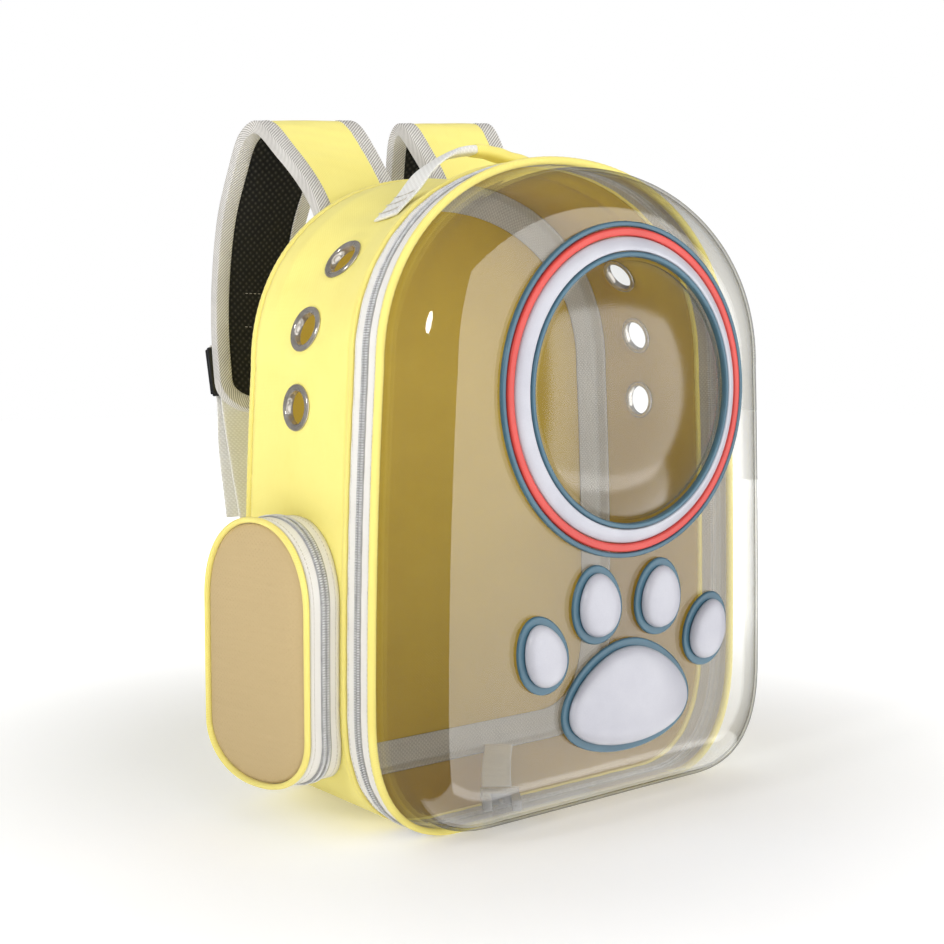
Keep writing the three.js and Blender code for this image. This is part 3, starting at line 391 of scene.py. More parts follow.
def woven(name, colour, deep, pitch, axes="UV", slub=0.35, lean=None, depth=0.00012, mottle=0.5,
          roughness=0.88, sheen=0.15, streak=1.6):
    """Woven cloth: plain weave, or ribs that lean over the tape's width where lean is given"""
    finish = Finish(name, roughness)
    u, v = finish.place(axes)
    across = finish.sum("MULTIPLY", u, math.pi / pitch[0])
    along = finish.sum("MULTIPLY", v, math.pi / pitch[1])
    if lean is None:
        warp = finish.sum("SINE", across)
        weft = finish.sum("SINE", along)
        over = finish.sum("MULTIPLY", warp, weft)
        height = finish.sum("MULTIPLY_ADD", over, 0.25)
        height.node.inputs[2].default_value = 0.5
        bars = finish.sum("MULTIPLY", finish.sum("ABSOLUTE", warp), 0.25)
        height = finish.sum("ADD", height, bars)
    else:
        slant = finish.sum("MULTIPLY", along, lean)
        ribs = finish.sum("SINE", finish.sum("ADD", finish.sum("MULTIPLY", across, 2.0), slant))
        height = finish.sum("MULTIPLY_ADD", ribs, 0.4)
        height.node.inputs[2].default_value = 0.5
    stretched = finish.joined(finish.sum("MULTIPLY", u, 0.12), v)
    threads = finish.noise(pitch[1] * streak, 2.0, stretched)
    height = finish.sum("ADD", height, finish.sum("MULTIPLY", threads, slub))
    mottled = finish.noise(0.035, 3.0)
    # Painted shade: the colour darkens where the weave's relief lies low, as shade in its hollows and rib
    # grooves; the mottle is real tone that drifts.
    weave_shade_and_mottle = finish.sum("ADD", finish.sum("MULTIPLY", height, 0.7), finish.sum("MULTIPLY", mottled, mottle))
    finish.colour(finish.ramp(weave_shade_and_mottle, [(0.25, deep), (0.85, colour)]))
    finish.relief(height, depth)
    finish.shader.inputs["Sheen Weight"].default_value = sheen
    finish.shader.inputs["Sheen Roughness"].default_value = 0.5
    return finish.material


yellow_cloth = woven("yellow_cloth", tone(251, 238, 136), tone(240, 221, 106), (0.0009, 0.0009))
# Painted shade: the gusset's inside face is the yellow cloth coloured a darker ochre for the shade inside
# the body.
lining_painted_shade = woven("lining_painted_shade", tone(198, 168, 56), tone(178, 146, 38), (0.0012, 0.0012),
                     depth=0.00005)

outer_rows, ring_count = 40, 420
shares = np.arange(ring_count) / ring_count
row_depth = np.linspace(GUSSET_FRONT, GUSSET_REAR, outer_rows)
section = [(y, 0.0) for y in row_depth] + [(y, CLOTH) for y in row_depth[::-1]]
depths = np.array([y for y, _ in section])
insets = np.array([inset for _, inset in section])
band_x, band_z = rim(shares[:, None], insets[None, :])
band_x, band_y, band_z = sagged(band_x, depths[None, :] + 0 * band_x, band_z)
run = shares[:, None] * GIRTH
share_back = (band_y - GUSSET_FRONT) / (GUSSET_REAR - GUSSET_FRONT)
puckers = np.exp((GUSSET_FRONT - band_y) / PUCKER_REACH) + np.exp((band_y - GUSSET_REAR) / PUCKER_REACH)
puckers *= (np.sin(2 * np.pi * run / 11.3) + 0.6 * np.sin(2 * np.pi * run / 7.1 + 1.3)) * PUCKER_DEPTH
loose = ease(band_z, FOLDS_START, FOLDS_FULL) * np.sin(np.pi * share_back)
folds = loose * sum(deep * np.sin(2 * np.pi * (run / length + slant * share_back) + phase)
                    for deep, length, slant, phase in FOLDS)
crease_off = band_y - CREASE_BACK - 3 * np.sin(run / 40)
crease = -CREASE_DEPTH * np.exp(-(crease_off / CREASE_HALF) ** 2) * ease(band_z, CREASE_START, CREASE_FULL)
rest_x, rest_z = band_x, band_z - SPRING_HEIGHT * ease(band_z, 200, 290)
far = np.maximum(np.hypot(rest_x, rest_z), 1.0)
move = puckers + folds + crease
band_x, band_z = band_x + rest_x / far * move, band_z + rest_z / far * move * (band_z > 3)
band = np.stack([band_x, band_y, band_z], -1)
for side in (-1, 1):
    for back, height in EYELETS.values():
        centre, normal = gusset_place(side, back, height)
        offset = band - centre
        out = offset @ normal
        radius = np.linalg.norm(offset - out[..., None] * normal, axis=-1)
        wanted = np.where(insets[None, :] > 0, -CLOTH, SEAT_PROUD)
        hold = (1 - ease(radius, SEAT_RADIUS, SEAT_BLEND_RADIUS)) * (np.abs(out) < SEAT_REACH)
        band = band + ((wanted - out) * hold)[..., None] * normal
gusset = skin("gusset_cloth", body(band[..., 0], band[..., 1], band[..., 2]), yellow_cloth,
              round_rings=True, round_rows=True,
              lining=(lining_painted_shade, list(range(outer_rows, 2 * outer_rows - 1))))


def turned_to(normal, centre):
    """Turns a shape made about +Z so that it looks along a direction, then moves it there"""
    turn = Vector((0, 0, 1)).rotation_difference(Vector(normal)).to_matrix().to_4x4()
    return Matrix.Translation(Vector(body(*centre))) @ turn


punch = bmesh.new()
for side in (-1, 1):
    for back, height in EYELETS.values():
        centre, normal = gusset_place(side, back, height)
        bmesh.ops.create_cone(
            punch, cap_ends=True, segments=40, radius1=EYELET_CUT_RADIUS * MM,
            radius2=EYELET_CUT_RADIUS * MM, depth=EYELET_CUT_DEPTH * MM, matrix=turned_to(normal, centre))
punch_mesh = bpy.data.meshes.new("punch")
punch.to_mesh(punch_mesh)
punch.free()
punch_tool = bpy.data.objects.new("punch", punch_mesh)
scene.collection.objects.link(punch_tool)
cut = gusset.modifiers.new("holes", "BOOLEAN")
cut.object = punch_tool
cut.operation = "DIFFERENCE"
cut.solver = "EXACT"
settle(gusset)
bpy.data.objects.remove(punch_tool)
fitted(gusset, "yellow_cloth", "gusset")

# Corded seams: yellow cloth folded on the bias over a cord and caught in three seams, at the clear
# front, behind the zip, and round the back panel.
CORD, CORD_PROUD = 2.6, 1.5
GATHER, GATHER_PITCH = 0.035, 5.3
SMALL_CORD, SMALL_CORD_PROUD = 1.9, 1.1
ZIP_SEAM_Y, REAR_SEAM_Y = 28.8, 145.0

piping_cloth = woven("piping_cloth", tone(247, 234, 136), tone(234, 214, 104), (0.0011, 0.0009),
                     lean=0.9, slub=0.3, sheen=0.2)


def corded_seam(name, y, radius, proud, node):
    count, sides = 640, 16
    along = np.arange(count) / count
    angles = (np.arange(sides) + 0.5) / sides * 2 * np.pi
    gather = 1 + GATHER * np.sin(2 * np.pi * along * GIRTH / GATHER_PITCH)[:, None]
    thick = radius * gather + 0 * angles[None, :]
    x, z = rim(along[:, None], radius - proud + thick * np.sin(angles))
    seam = skin(name, body(x, y + thick * np.cos(angles), z), piping_cloth,
                round_rings=True, round_rows=True)
    return fitted(seam, "yellow_piping", node)


corded_seam("front_seam_cord", 0.0, CORD, CORD_PROUD, "front_piping")
corded_seam("zip_seam_cord", ZIP_SEAM_Y, SMALL_CORD, SMALL_CORD_PROUD, "gusset_piping")
corded_seam("rear_seam_cord", REAR_SEAM_Y, CORD, CORD_PROUD, "rear_piping")

# Zip round the clear front: two white woven tapes with a nylon coil between them, sewn down with
# a row of stitches along each edge. Its slider hangs low on the far side: body, bridge, loop and
# pull, each block by its middle and size.
FRONT_TAPE, REAR_TAPE = (2.9, 14.4), (14.7, 26.2)
TAPE_INSET, TAPE_THICKNESS, TAPE_WAVE, TAPE_WAVE_LENGTH = 0.8, 1.5, 0.12, 23.0
COIL_MIDDLE = 14.55
TOOTH_PITCH, ROW_APART, COIL_HALF = 1.6, 1.75, 3.5
FLOOR_GAP = 0.8 * MM
SLIDER_HEIGHT = 62.0
SLIDER_BLOCKS = [
    ((3.2, 0, 0), (1.3, 8.5, 13)), ((4.4, 0, 0.5), (1.4, 3.2, 9)), ((5.4, 0, 5), (1.0, 4.6, 2.2)),
    ((5.6, -2.1, 11.5), (1.1, 1.7, 14)), ((5.6, 2.1, 11.5), (1.1, 1.7, 14)),
    ((5.6, 0, 18.5), (1.1, 5.8, 3.0)),
]

white_tape = woven("white_tape", tone(246, 244, 240), tone(222, 218, 211), (0.0013, 0.0013), lean=1.0,
                   slub=0.25, mottle=0.3)
grey_tape = woven("grey_tape", tone(206, 202, 194), tone(136, 132, 124), (0.0016, 0.0016),
                  depth=0.0002, slub=0.3, mottle=0.3)


def zip_tape(name, ends, node):
    start, end = ends
    low, high = TAPE_INSET, TAPE_INSET + TAPE_THICKNESS
    soft = 0.35
    rows = [(start + soft, low), *[(y, low) for y in np.linspace(start + 1.5, end - 1.5, 5)],
            (end - soft, low), (end, low + soft), (end, high - soft), (end - soft, high),
            *[(y, high) for y in np.linspace(end - 1.5, start + 1.5, 5)],
            (start + soft, high), (start, high - soft), (start, low + soft)]
    count = 520
    along = np.arange(count)[:, None] / count
    y = np.array([row[0] for row in rows])[None, :]
    wave = TAPE_WAVE * np.sin(2 * np.pi * along * GIRTH / TAPE_WAVE_LENGTH + y / 3)
    x, z = rim(along, np.array([row[1] for row in rows])[None, :] + wave)
    tape = skin(name, body(x, y, z), white_tape, round_rings=True, round_rows=True,
                lining=(grey_tape, list(range(9, 15))))
    fitted(tape, "white_tape", node)


zip_tape("zip_tape_front", FRONT_TAPE, "front_tape")
zip_tape("zip_tape_rear", REAR_TAPE, "rear_tape")


def row_tree():
    """Grains set at an even pitch along a path: stitches, coil teeth and ribs"""
    tree = bpy.data.node_groups.new("grains_along_path", "GeometryNodeTree")
    tree.is_modifier = True
    tree.interface.new_socket(name="Path", in_out="INPUT", socket_type="NodeSocketGeometry")
    for label in ("Pitch", "Long", "Wide", "High", "Lean", "Spread"):
        tree.interface.new_socket(name=label, in_out="INPUT", socket_type="NodeSocketFloat")
    tree.interface.new_socket(name="Seed", in_out="INPUT", socket_type="NodeSocketInt")
    tree.interface.new_socket(name="Finish", in_out="INPUT", socket_type="NodeSocketMaterial")
    tree.interface.new_socket(name="Grains", in_out="OUTPUT", socket_type="NodeSocketGeometry")
    new, link = tree.nodes.new, tree.links.new
    given, made = new("NodeGroupInput"), new("NodeGroupOutput")
    curve = new("GeometryNodeMeshToCurve")
    spaced = new("GeometryNodeResampleCurve")
    spaced.mode = "LENGTH"
    tangent = new("GeometryNodeInputTangent")
    up = new("GeometryNodeInputNamedAttribute")
    up.data_type = "FLOAT_VECTOR"
    up.inputs["Name"].default_value = "up"
    along = new("FunctionNodeAlignRotationToVector")
    along.axis = "X"
    standing = new("FunctionNodeAlignRotationToVector")
    standing.axis, standing.pivot_axis = "Z", "X"
    swing = new("FunctionNodeRandomValue")
    swing.data_type = "FLOAT"
    opposite = new("ShaderNodeMath")
    opposite.operation = "MULTIPLY"
    opposite.inputs[1].default_value = -1.0
    lean = new("ShaderNodeMath")
    lean.operation = "ADD"
    turn = new("FunctionNodeAxisAngleToRotation")
    turn.inputs["Axis"].default_value = (0, 0, 1)
    leaning = new("FunctionNodeRotateRotation")
    leaning.rotation_space = "LOCAL"
    grain = new("GeometryNodeMeshUVSphere")
    grain.inputs["Segments"].default_value = 6
    grain.inputs["Rings"].default_value = 4
    grain.inputs["Radius"].default_value = 0.5
    smooth = new("GeometryNodeSetShadeSmooth")
    size = new("ShaderNodeCombineXYZ")
    setting = new("GeometryNodeInstanceOnPoints")
    real = new("GeometryNodeRealizeInstances")
    painted = new("GeometryNodeSetMaterial")
    link(given.outputs["Path"], curve.inputs[0])
    link(curve.outputs[0], spaced.inputs["Curve"])
    link(given.outputs["Pitch"], spaced.inputs["Length"])
    link(tangent.outputs[0], along.inputs["Vector"])
    link(along.outputs[0], standing.inputs["Rotation"])
    link(up.outputs[0], standing.inputs["Vector"])
    low, high = [s for s in swing.inputs if s.type == "VALUE" and s.name in ("Min", "Max")][:2]
    link(given.outputs["Spread"], opposite.inputs[0])
    link(opposite.outputs[0], low)
    link(given.outputs["Spread"], high)
    link(given.outputs["Seed"], swing.inputs["Seed"])
    swung = [s for s in swing.outputs if s.type == "VALUE"][0]
    link(given.outputs["Lean"], lean.inputs[0])
    link(swung, lean.inputs[1])
    link(lean.outputs[0], turn.inputs["Angle"])
    link(standing.outputs[0], leaning.inputs["Rotation"])
    link(turn.outputs[0], leaning.inputs["Rotate By"])
    for label, socket in zip(("Long", "Wide", "High"), size.inputs):
        link(given.outputs[label], socket)
    link(grain.outputs["Mesh"], smooth.inputs[0])
    link(spaced.outputs[0], setting.inputs["Points"])
    link(smooth.outputs[0], setting.inputs["Instance"])
    link(leaning.outputs[0], setting.inputs["Rotation"])
    link(size.outputs[0], setting.inputs["Scale"])
    link(setting.outputs[0], real.inputs[0])
    link(real.outputs[0], painted.inputs["Geometry"])
    link(given.outputs["Finish"], painted.inputs["Material"])
    link(painted.outputs[0], made.inputs[0])
    return tree


grains_along_path = row_tree()


def grains(name, paths, sizes, finish, seed=1):
    """A plain mesh of grains along paths, each of points, the way up at them, and if it closes"""
    points, ups, edges = [], [], []
    for line, upward, closes in paths:
        first, count = len(points), len(line)
        points += line.tolist()
        ups += (upward + 0 * line).tolist()
        edges += [(first + k, first + k + 1) for k in range(count - 1)]
        edges += [(first + count - 1, first)] if closes else []
    mesh = bpy.data.meshes.new(name)
    mesh.from_pydata(points, edges, [])
    way = mesh.attributes.new("up", "FLOAT_VECTOR", "POINT")
    way.data.foreach_set("vector", np.array(ups, np.float32).ravel())
    piece = bpy.data.objects.new(name, mesh)
    scene.collection.objects.link(piece)
    rule = piece.modifiers.new("grains", "NODES")
    rule.node_group = grains_along_path
    values = {"Lean": 0.0, "Spread": 0.05, "Seed": seed, "Finish": finish, **sizes}
    for item in grains_along_path.interface.items_tree:
        if item.in_out == "INPUT" and item.name in values:
            rule[item.identifier] = values[item.name]
    return settle(piece)


def rim_path(y, inset, count=900):
    """A line round the outline, with the way out from it"""
    along = np.arange(count) / count
    (x, z), (inner_x, inner_z) = rim(along, inset), rim(along, inset + 1.0)
    line = body(x, y, z)
    line[:, 2] = np.maximum(line[:, 2], FLOOR_GAP)
    out = line - body(inner_x, y, inner_z)
    return line, out / np.linalg.norm(out, axis=1)[:, None], True


STITCH = {"Pitch": 3.1 * MM, "Long": 2.5 * MM, "Wide": 0.55 * MM, "High": 0.4 * MM}
TOOTH = {"Pitch": TOOTH_PITCH * MM, "Long": 1.0 * MM, "Wide": 2.7 * MM, "High": 1.5 * MM}

sewing_thread = speckled("sewing_thread", 0.6, 0.0015, (172, 165, 152), (214, 208, 196), 0.0003, 0.00008)
coil_nylon = speckled("coil_nylon", 0.32, 0.004, (212, 212, 214), (238, 238, 240), 0.0004, 0.00005)
coil_core = speckled("coil_core", 0.7, 0.002, (150, 150, 150), (182, 182, 182), 0.0006, 0.0001)
plated_metal = speckled("plated_metal", 0.2, 0.006, (120, 116, 110), (160, 156, 150), 0.0008, 0.00002, 1.0)

core_rows = [(COIL_MIDDLE - COIL_HALF, 0.75), (COIL_MIDDLE - COIL_HALF, 0.45),
             (COIL_MIDDLE + COIL_HALF, 0.45), (COIL_MIDDLE + COIL_HALF, 0.75)]
core_x, core_z = rim(np.arange(480)[:, None] / 480, np.array([row[1] for row in core_rows])[None, :])
core = skin("zip_coil_band", body(core_x, np.array([row[0] for row in core_rows])[None, :], core_z),
            coil_core, round_rings=True, round_rows=True)
fitted(core, "zip_coil", "zip_coil")
teeth = grains("zip_coil_teeth", [
    rim_path(COIL_MIDDLE - ROW_APART, 0.05), rim_path(COIL_MIDDLE + ROW_APART, 0.05),
], {**TOOTH, "Lean": 0.22}, coil_nylon, 3)
fitted(teeth, "zip_coil")
inner_teeth = grains("zip_coil_inside", [
    (line, -out, True) for line, out, _ in
    (rim_path(COIL_MIDDLE - ROW_APART, 2.9), rim_path(COIL_MIDDLE + ROW_APART, 2.9))
], {**TOOTH, "High": 1.2 * MM}, coil_nylon, 4)
fitted(inner_teeth, "zip_coil")
stitches = grains("zip_stitches", [
    rim_path(FRONT_TAPE[0] + 1.6, TAPE_INSET - 0.05), rim_path(FRONT_TAPE[1] - 3.4, TAPE_INSET - 0.05),
    rim_path(REAR_TAPE[0] + 3.4, TAPE_INSET - 0.05), rim_path(REAR_TAPE[1] - 1.6, TAPE_INSET - 0.05),
], STITCH, sewing_thread, 5)
fitted(stitches, "white_tape")


def blocks(name, boxes, material, bevel, turn=None):
    """Rounded blocks joined in one piece; each is its middle and size in millimetres"""
    work = bmesh.new()
    for middle, size in boxes:
        place = Matrix.Translation(Vector(middle)) @ Matrix.Diagonal((*size, 1))
        bmesh.ops.create_cube(work, size=1.0, matrix=place)
    bmesh.ops.transform(work, matrix=turn if turn else Matrix.Scale(MM, 4), verts=work.verts)
    mesh = bpy.data.meshes.new(name)
    work.to_mesh(mesh)
    work.free()
    mesh.materials.append(material)
    piece = bpy.data.objects.new(name, mesh)
    scene.collection.objects.link(piece)
    edge = piece.modifiers.new("edges", "BEVEL")
    edge.width = bevel * MM
    edge.segments = 3
    return settle(piece)


slider_at, _ = gusset_place(1, COIL_MIDDLE, SLIDER_HEIGHT)
slider_frame = Matrix.Translation(Vector(body(*slider_at))) @ Matrix.Scale(MM, 4)
slider = blocks("zip_slider_metal", SLIDER_BLOCKS, plated_metal, 0.45, slider_frame)
fitted(slider, "eyelet_metal", "zip_slider")

# Clear front: one moulded sheet of clear plastic, drafted at its wall and widely rounded at its
# edge, with a round hole in its flat face for the window. Its rim is tucked under the front cord.
SHELL_WALL, SHELL_DEPTH, SHELL_CORNER_DEPTH, SHELL_CORNER_WIDTH = 1.8, 53.0, 36.0, 44.0
SHELL_INSET, SHELL_DRAFT, SHELL_TUCK = 4.0, 3.0, 7.0
WINDOW_HEIGHT, HOLE_RADIUS = 276.0, 90.0
SHELL_WAVE, SHELL_WAVES = 0.35, 5
MIRROR_FACING, MIRROR_EDGE_ON, MIRROR_POWER = 0.06, 0.75, 4.0


def clear_plastic(name, tint, haze, gloss_roughness):
    """Thin clear plastic: it lets light through, and mirrors more where it is seen edge on"""
    finish = Finish(name)
    facing = finish.nodes.new("ShaderNodeLayerWeight")
    facing.inputs["Blend"].default_value = 0.5
    edge_on = finish.sum("POWER", facing.outputs["Facing"], MIRROR_POWER)
    mirror = finish.sum("MULTIPLY_ADD", edge_on, MIRROR_EDGE_ON)
    mirror.node.inputs[2].default_value = MIRROR_FACING
    clear = finish.nodes.new("ShaderNodeBsdfTransparent")
    clear.inputs["Color"].default_value = tint
    gloss = finish.nodes.new("ShaderNodeBsdfGlossy")
    gloss.inputs["Roughness"].default_value = gloss_roughness
    milk = finish.nodes.new("ShaderNodeBsdfDiffuse")
    milk.inputs["Color"].default_value = (0.9, 0.9, 0.9, 1)
    cloud = finish.noise(0.05, 4.0)
    veil = finish.sum("MULTIPLY", cloud, haze)
    body_mix = finish.nodes.new("ShaderNodeMixShader")
    top_mix = finish.nodes.new("ShaderNodeMixShader")
    finish.links.new(veil, body_mix.inputs["Fac"])
    finish.links.new(clear.outputs[0], body_mix.inputs[1])
    finish.links.new(milk.outputs[0], body_mix.inputs[2])
    finish.links.new(mirror, top_mix.inputs["Fac"])
    finish.links.new(body_mix.outputs[0], top_mix.inputs[1])
    finish.links.new(gloss.outputs[0], top_mix.inputs[2])
    finish.bump(finish.noise(0.03, 2.0), 0.0006, 0.25, gloss.inputs["Normal"])
    finish.links.new(top_mix.outputs[0], finish.nodes["Material Output"].inputs["Surface"])
    return finish.material


shell_plastic = clear_plastic("shell_plastic", (0.975, 0.975, 0.965, 1), 0.007, 0.035)
dome_plastic = clear_plastic("dome_plastic", (0.975, 0.98, 0.975, 1), 0.008, 0.16)


def shell_rows(wall):
    edge = SHELL_DEPTH - SHELL_CORNER_DEPTH
    rows = [(-y, SHELL_INSET + SHELL_DRAFT * y / edge + wall) for y in np.linspace(-SHELL_TUCK, edge, 8)]
    inner_inset = SHELL_INSET + SHELL_DRAFT + SHELL_CORNER_WIDTH
    for angle in np.linspace(0, np.pi / 2, 19)[1:]:
        rows.append((-edge - (SHELL_CORNER_DEPTH - wall) * np.sin(angle),
                     inner_inset - (SHELL_CORNER_WIDTH - wall) * np.cos(angle)))
    return rows


def shell_grid(wall):
    """Wall and rounded edge, then the flat face in to the window's hole"""
    along = np.arange(400) / 400
    rows = shell_rows(wall)
    depth = np.array([y for y, _ in rows])[None, :]
    x, z = rim(along[:, None], np.array([inset for _, inset in rows])[None, :])
    over_rows = np.sin(np.linspace(0, np.pi, len(rows)))[None, :]
    wave = SHELL_WAVE * np.sin(2 * np.pi * along * SHELL_WAVES)[:, None] * over_rows
    grid = [np.stack([x, depth + wave, z], -1)]
    rim_x, rim_z = x[:, -1], z[:, -1] - WINDOW_HEIGHT
    far = np.hypot(rim_x, rim_z)
    for share in np.linspace(0, 1, 12)[1:]:
        reach = (far + (HOLE_RADIUS - far) * share) / far
        flat_y = np.full_like(far, rows[-1][0])
        grid.append(np.stack([rim_x * reach, flat_y, rim_z * reach + WINDOW_HEIGHT], -1)[:, None, :])
    return np.concatenate(grid, axis=1)


outside, inside = shell_grid(0.0), shell_grid(SHELL_WALL)
shell_points = np.concatenate([outside, inside[:, ::-1]], axis=1)
shell = skin("clear_front", body(*np.moveaxis(shell_points, -1, 0)), shell_plastic,
             round_rings=True, round_rows=True)
fitted(shell, "clear_shell", "clear_shell")

# Window: a blown clear bubble whose flange sits in the front's hole, under a raised bezel of
# sloped white trim, two thin beads and a coloured hoop, all cemented to the clear face.
FACE_Y = -SHELL_DEPTH
DOME_RADIUS, DOME_RISE, DOME_WALL = 82.2, 30.0, 1.6
FLANGE_LOW, FLANGE_TOP, FLANGE_RADIUS = 1.6, 3.4, 86.1
INNER_BEAD, BEZEL, HOOP, OUTER_BEAD = (82.5, 86.1), (86.4, 95.2), (95.5, 101.1), (101.4, 104.8)
TRIM_BASE = 0.3
BEZEL_SLOPE = [(0, TRIM_BASE), (0, 6.2), (0.4, 6.8), (1.2, 7.0), (2.6, 6.6), (4.4, 5.9), (6.2, 5.0),
               (7.4, 4.0), (8.4, 3.2), (8.8, 2.5), (8.8, TRIM_BASE)]


def turned(name, profile, material, sides=144, closed=True):
    """A round piece on the clear face, from radius and height above it"""
    profile = np.array(profile, float)
    angles = np.arange(sides)[:, None] / sides * 2 * np.pi
    x = profile[:, 0][None, :] * np.cos(angles)
    z = WINDOW_HEIGHT + profile[:, 0][None, :] * np.sin(angles)
    return skin(name, body(x, FACE_Y - profile[:, 1][None, :] + 0 * x, z), material,
                round_rings=True, round_rows=closed)


def dome_arc(radius, rise, steps=26):
    ball = (radius**2 + rise**2) / (2 * rise)
    angles = np.linspace(0, math.asin(radius / ball), steps + 1)
    return [(ball * math.sin(a), FLANGE_TOP + rise - ball * (1 - math.cos(a))) for a in angles]


dome = turned("window_bubble", [
    *dome_arc(DOME_RADIUS, DOME_RISE), (84.0, FLANGE_TOP), (FLANGE_RADIUS, FLANGE_TOP),
    (FLANGE_RADIUS, FLANGE_LOW), (DOME_RADIUS - DOME_WALL, FLANGE_LOW),
    *dome_arc(DOME_RADIUS - DOME_WALL, DOME_RISE - DOME_WALL)[::-1],
], dome_plastic, closed=False)
fitted(dome, "clear_shell", "window_dome")


def bead_profile(ends, base, top, steps=14):
    """A low round bead between two radii"""
    middle, half, foot = sum(ends) / 2, (ends[1] - ends[0]) / 2, base + 0.6
    angles = np.linspace(0, np.pi, steps)
    across = np.sign(np.cos(angles)) * np.abs(np.cos(angles)) ** 0.65
    crown = [(middle + half * a, foot + (top - foot) * math.sin(turn) ** 0.8)
             for a, turn in zip(across, angles)]
    return [(ends[1], base), *crown, (ends[0], base)]


def moulded(name, colour, deep, roughness=0.38, grain=0.0006, coat=0.25):
    """Soft moulded trim: a fine leather-like grain and a thin gloss"""
    finish = Finish(name, roughness)
    patches = finish.noise(0.03, 3.0)
    specks = finish.noise(grain, 3.0)
    mixed = finish.sum("ADD", finish.sum("MULTIPLY", patches, 0.7), finish.sum("MULTIPLY", specks, 0.3))
    finish.colour(finish.ramp(mixed, [(0.3, deep), (0.7, colour)]))
    finish.relief(specks, 0.00004)
    finish.shader.inputs["Coat Weight"].default_value = coat
    finish.shader.inputs["Coat Roughness"].default_value = 0.15
    return finish.material


teal_trim = moulded("teal_trim", tone(68, 106, 124), tone(54, 90, 108))
white_vinyl = moulded("white_vinyl", tone(192, 192, 199), tone(176, 176, 185))
red_trim = moulded("red_trim", tone(208, 66, 56), tone(192, 54, 46))

bead_in = turned("bezel_bead_inner", bead_profile(INNER_BEAD, FLANGE_TOP + TRIM_BASE, 7.7), teal_trim)
fitted(bead_in, "teal_trim", "ring_bead_inner")
bezel = turned("bezel_white", [(BEZEL[0] + out, high) for out, high in BEZEL_SLOPE], white_vinyl)
fitted(bezel, "white_vinyl", "window_ring")
hoop = turned("bezel_hoop", bead_profile(HOOP, TRIM_BASE, 4.0), red_trim)
fitted(hoop, "red_trim", "ring_stripe")
bead_out = turned("bezel_bead_outer", bead_profile(OUTER_BEAD, TRIM_BASE, 3.0), teal_trim)
fitted(bead_out, "teal_trim", "ring_bead_outer")

# Badge below the window: a puffed vinyl paw print, a pad and four toes, each welded to its own
# flat edging on the clear face.
BADGE_EDGE, EDGE_TOP, PAD_BASE = 5.0, 2.7, 3.0
BADGE = [
    ("pad", 0, 84, 50, 31, 0, 6, 11), ("toe_1", -72, 118, 15, 20, 22, 1, 8),
    ("toe_2", -27, 144, 16, 20, 7, 1, 8), ("toe_3", 27, 144, 16, 20, -7, 1, 8),
    ("toe_4", 72, 118, 15, 20, -22, 1, 8),
]


def egg(shape, grow, scale, sides):
    """Outline of a badge piece: an egg, wider at its foot, leaning by some degrees"""
    _, across, up, half_width, half_height, lean, waist, _ = shape
    a = np.arange(sides) / sides * 2 * np.pi
    x = ((half_width + grow) * np.cos(a) - waist * np.sin(2 * a)) * scale
    z = (half_height + grow) * np.sin(a) * scale
    turn = math.radians(lean)
    cosine, sine = math.cos(turn), math.sin(turn)
    return across + x * cosine - z * sine, up + x * sine + z * cosine


def badge_piece(name, shape, rows, material, sides=112):
    """Rows of grow, scale and height over the egg, closed at both ends"""
    grid = []
    for grow, scale, height in rows:
        x, z = egg(shape, grow, scale, sides)
        grid.append(body(x, FACE_Y - height + 0 * x, z))
    return skin(name, np.moveaxis(np.array(grid), 0, 1), material, round_rings=True)


for shape in BADGE:
    label, puff = shape[0], shape[-1]
    node = "paw_edge" if label == "pad" else label.replace("toe_", "toe_edge_")
    soft = [(BADGE_EDGE - 1.6 * (1 - math.sin(a)), 1.0, 1.2 + (EDGE_TOP - 1.2) * math.cos(a))
            for a in np.linspace(np.pi / 2, 0, 7)]
    edge = badge_piece(f"badge_{label}_edge", shape, [
        (0, 0, 0.3), (BADGE_EDGE - 0.6, 1.0, 0.3), (BADGE_EDGE, 1.0, 0.8), *soft,
        (0.5, 1.0, EDGE_TOP - 0.3), (0, 0.5, EDGE_TOP - 0.3), (0, 0, EDGE_TOP - 0.3)], teal_trim)
    fitted(edge, "teal_trim", node)
    rows = [(0, 0, PAD_BASE), (0, 0.5, PAD_BASE), (0, 0.96, PAD_BASE)]
    for angle in np.linspace(0, np.pi / 2, 26):
        rows.append((0, abs(math.cos(angle)) ** 0.72, PAD_BASE + puff * math.sin(angle) ** 0.85))
    pad = badge_piece(f"badge_{label}_puff", shape, rows, white_vinyl)
    fitted(pad, "white_vinyl", "paw_pad" if label == "pad" else label.replace("toe_", "toe_pad_"))

# Eyelets: two-part plated washers pressed together through the cloth, a rounded flange outside
# with its barrel rolled over a flat washer on the inside.
EYELET_HOLE, EYELET_BARREL, FLANGE, FLANGE_SEAT, WASHER_DEPTH = 10.7, 0.8, 1.6, 0.5, 2.3

eyelet_metal = speckled("eyelet_metal", 0.15, 0.01, (178, 172, 164), (214, 208, 200), 0.002, 0.00003, 0.7)

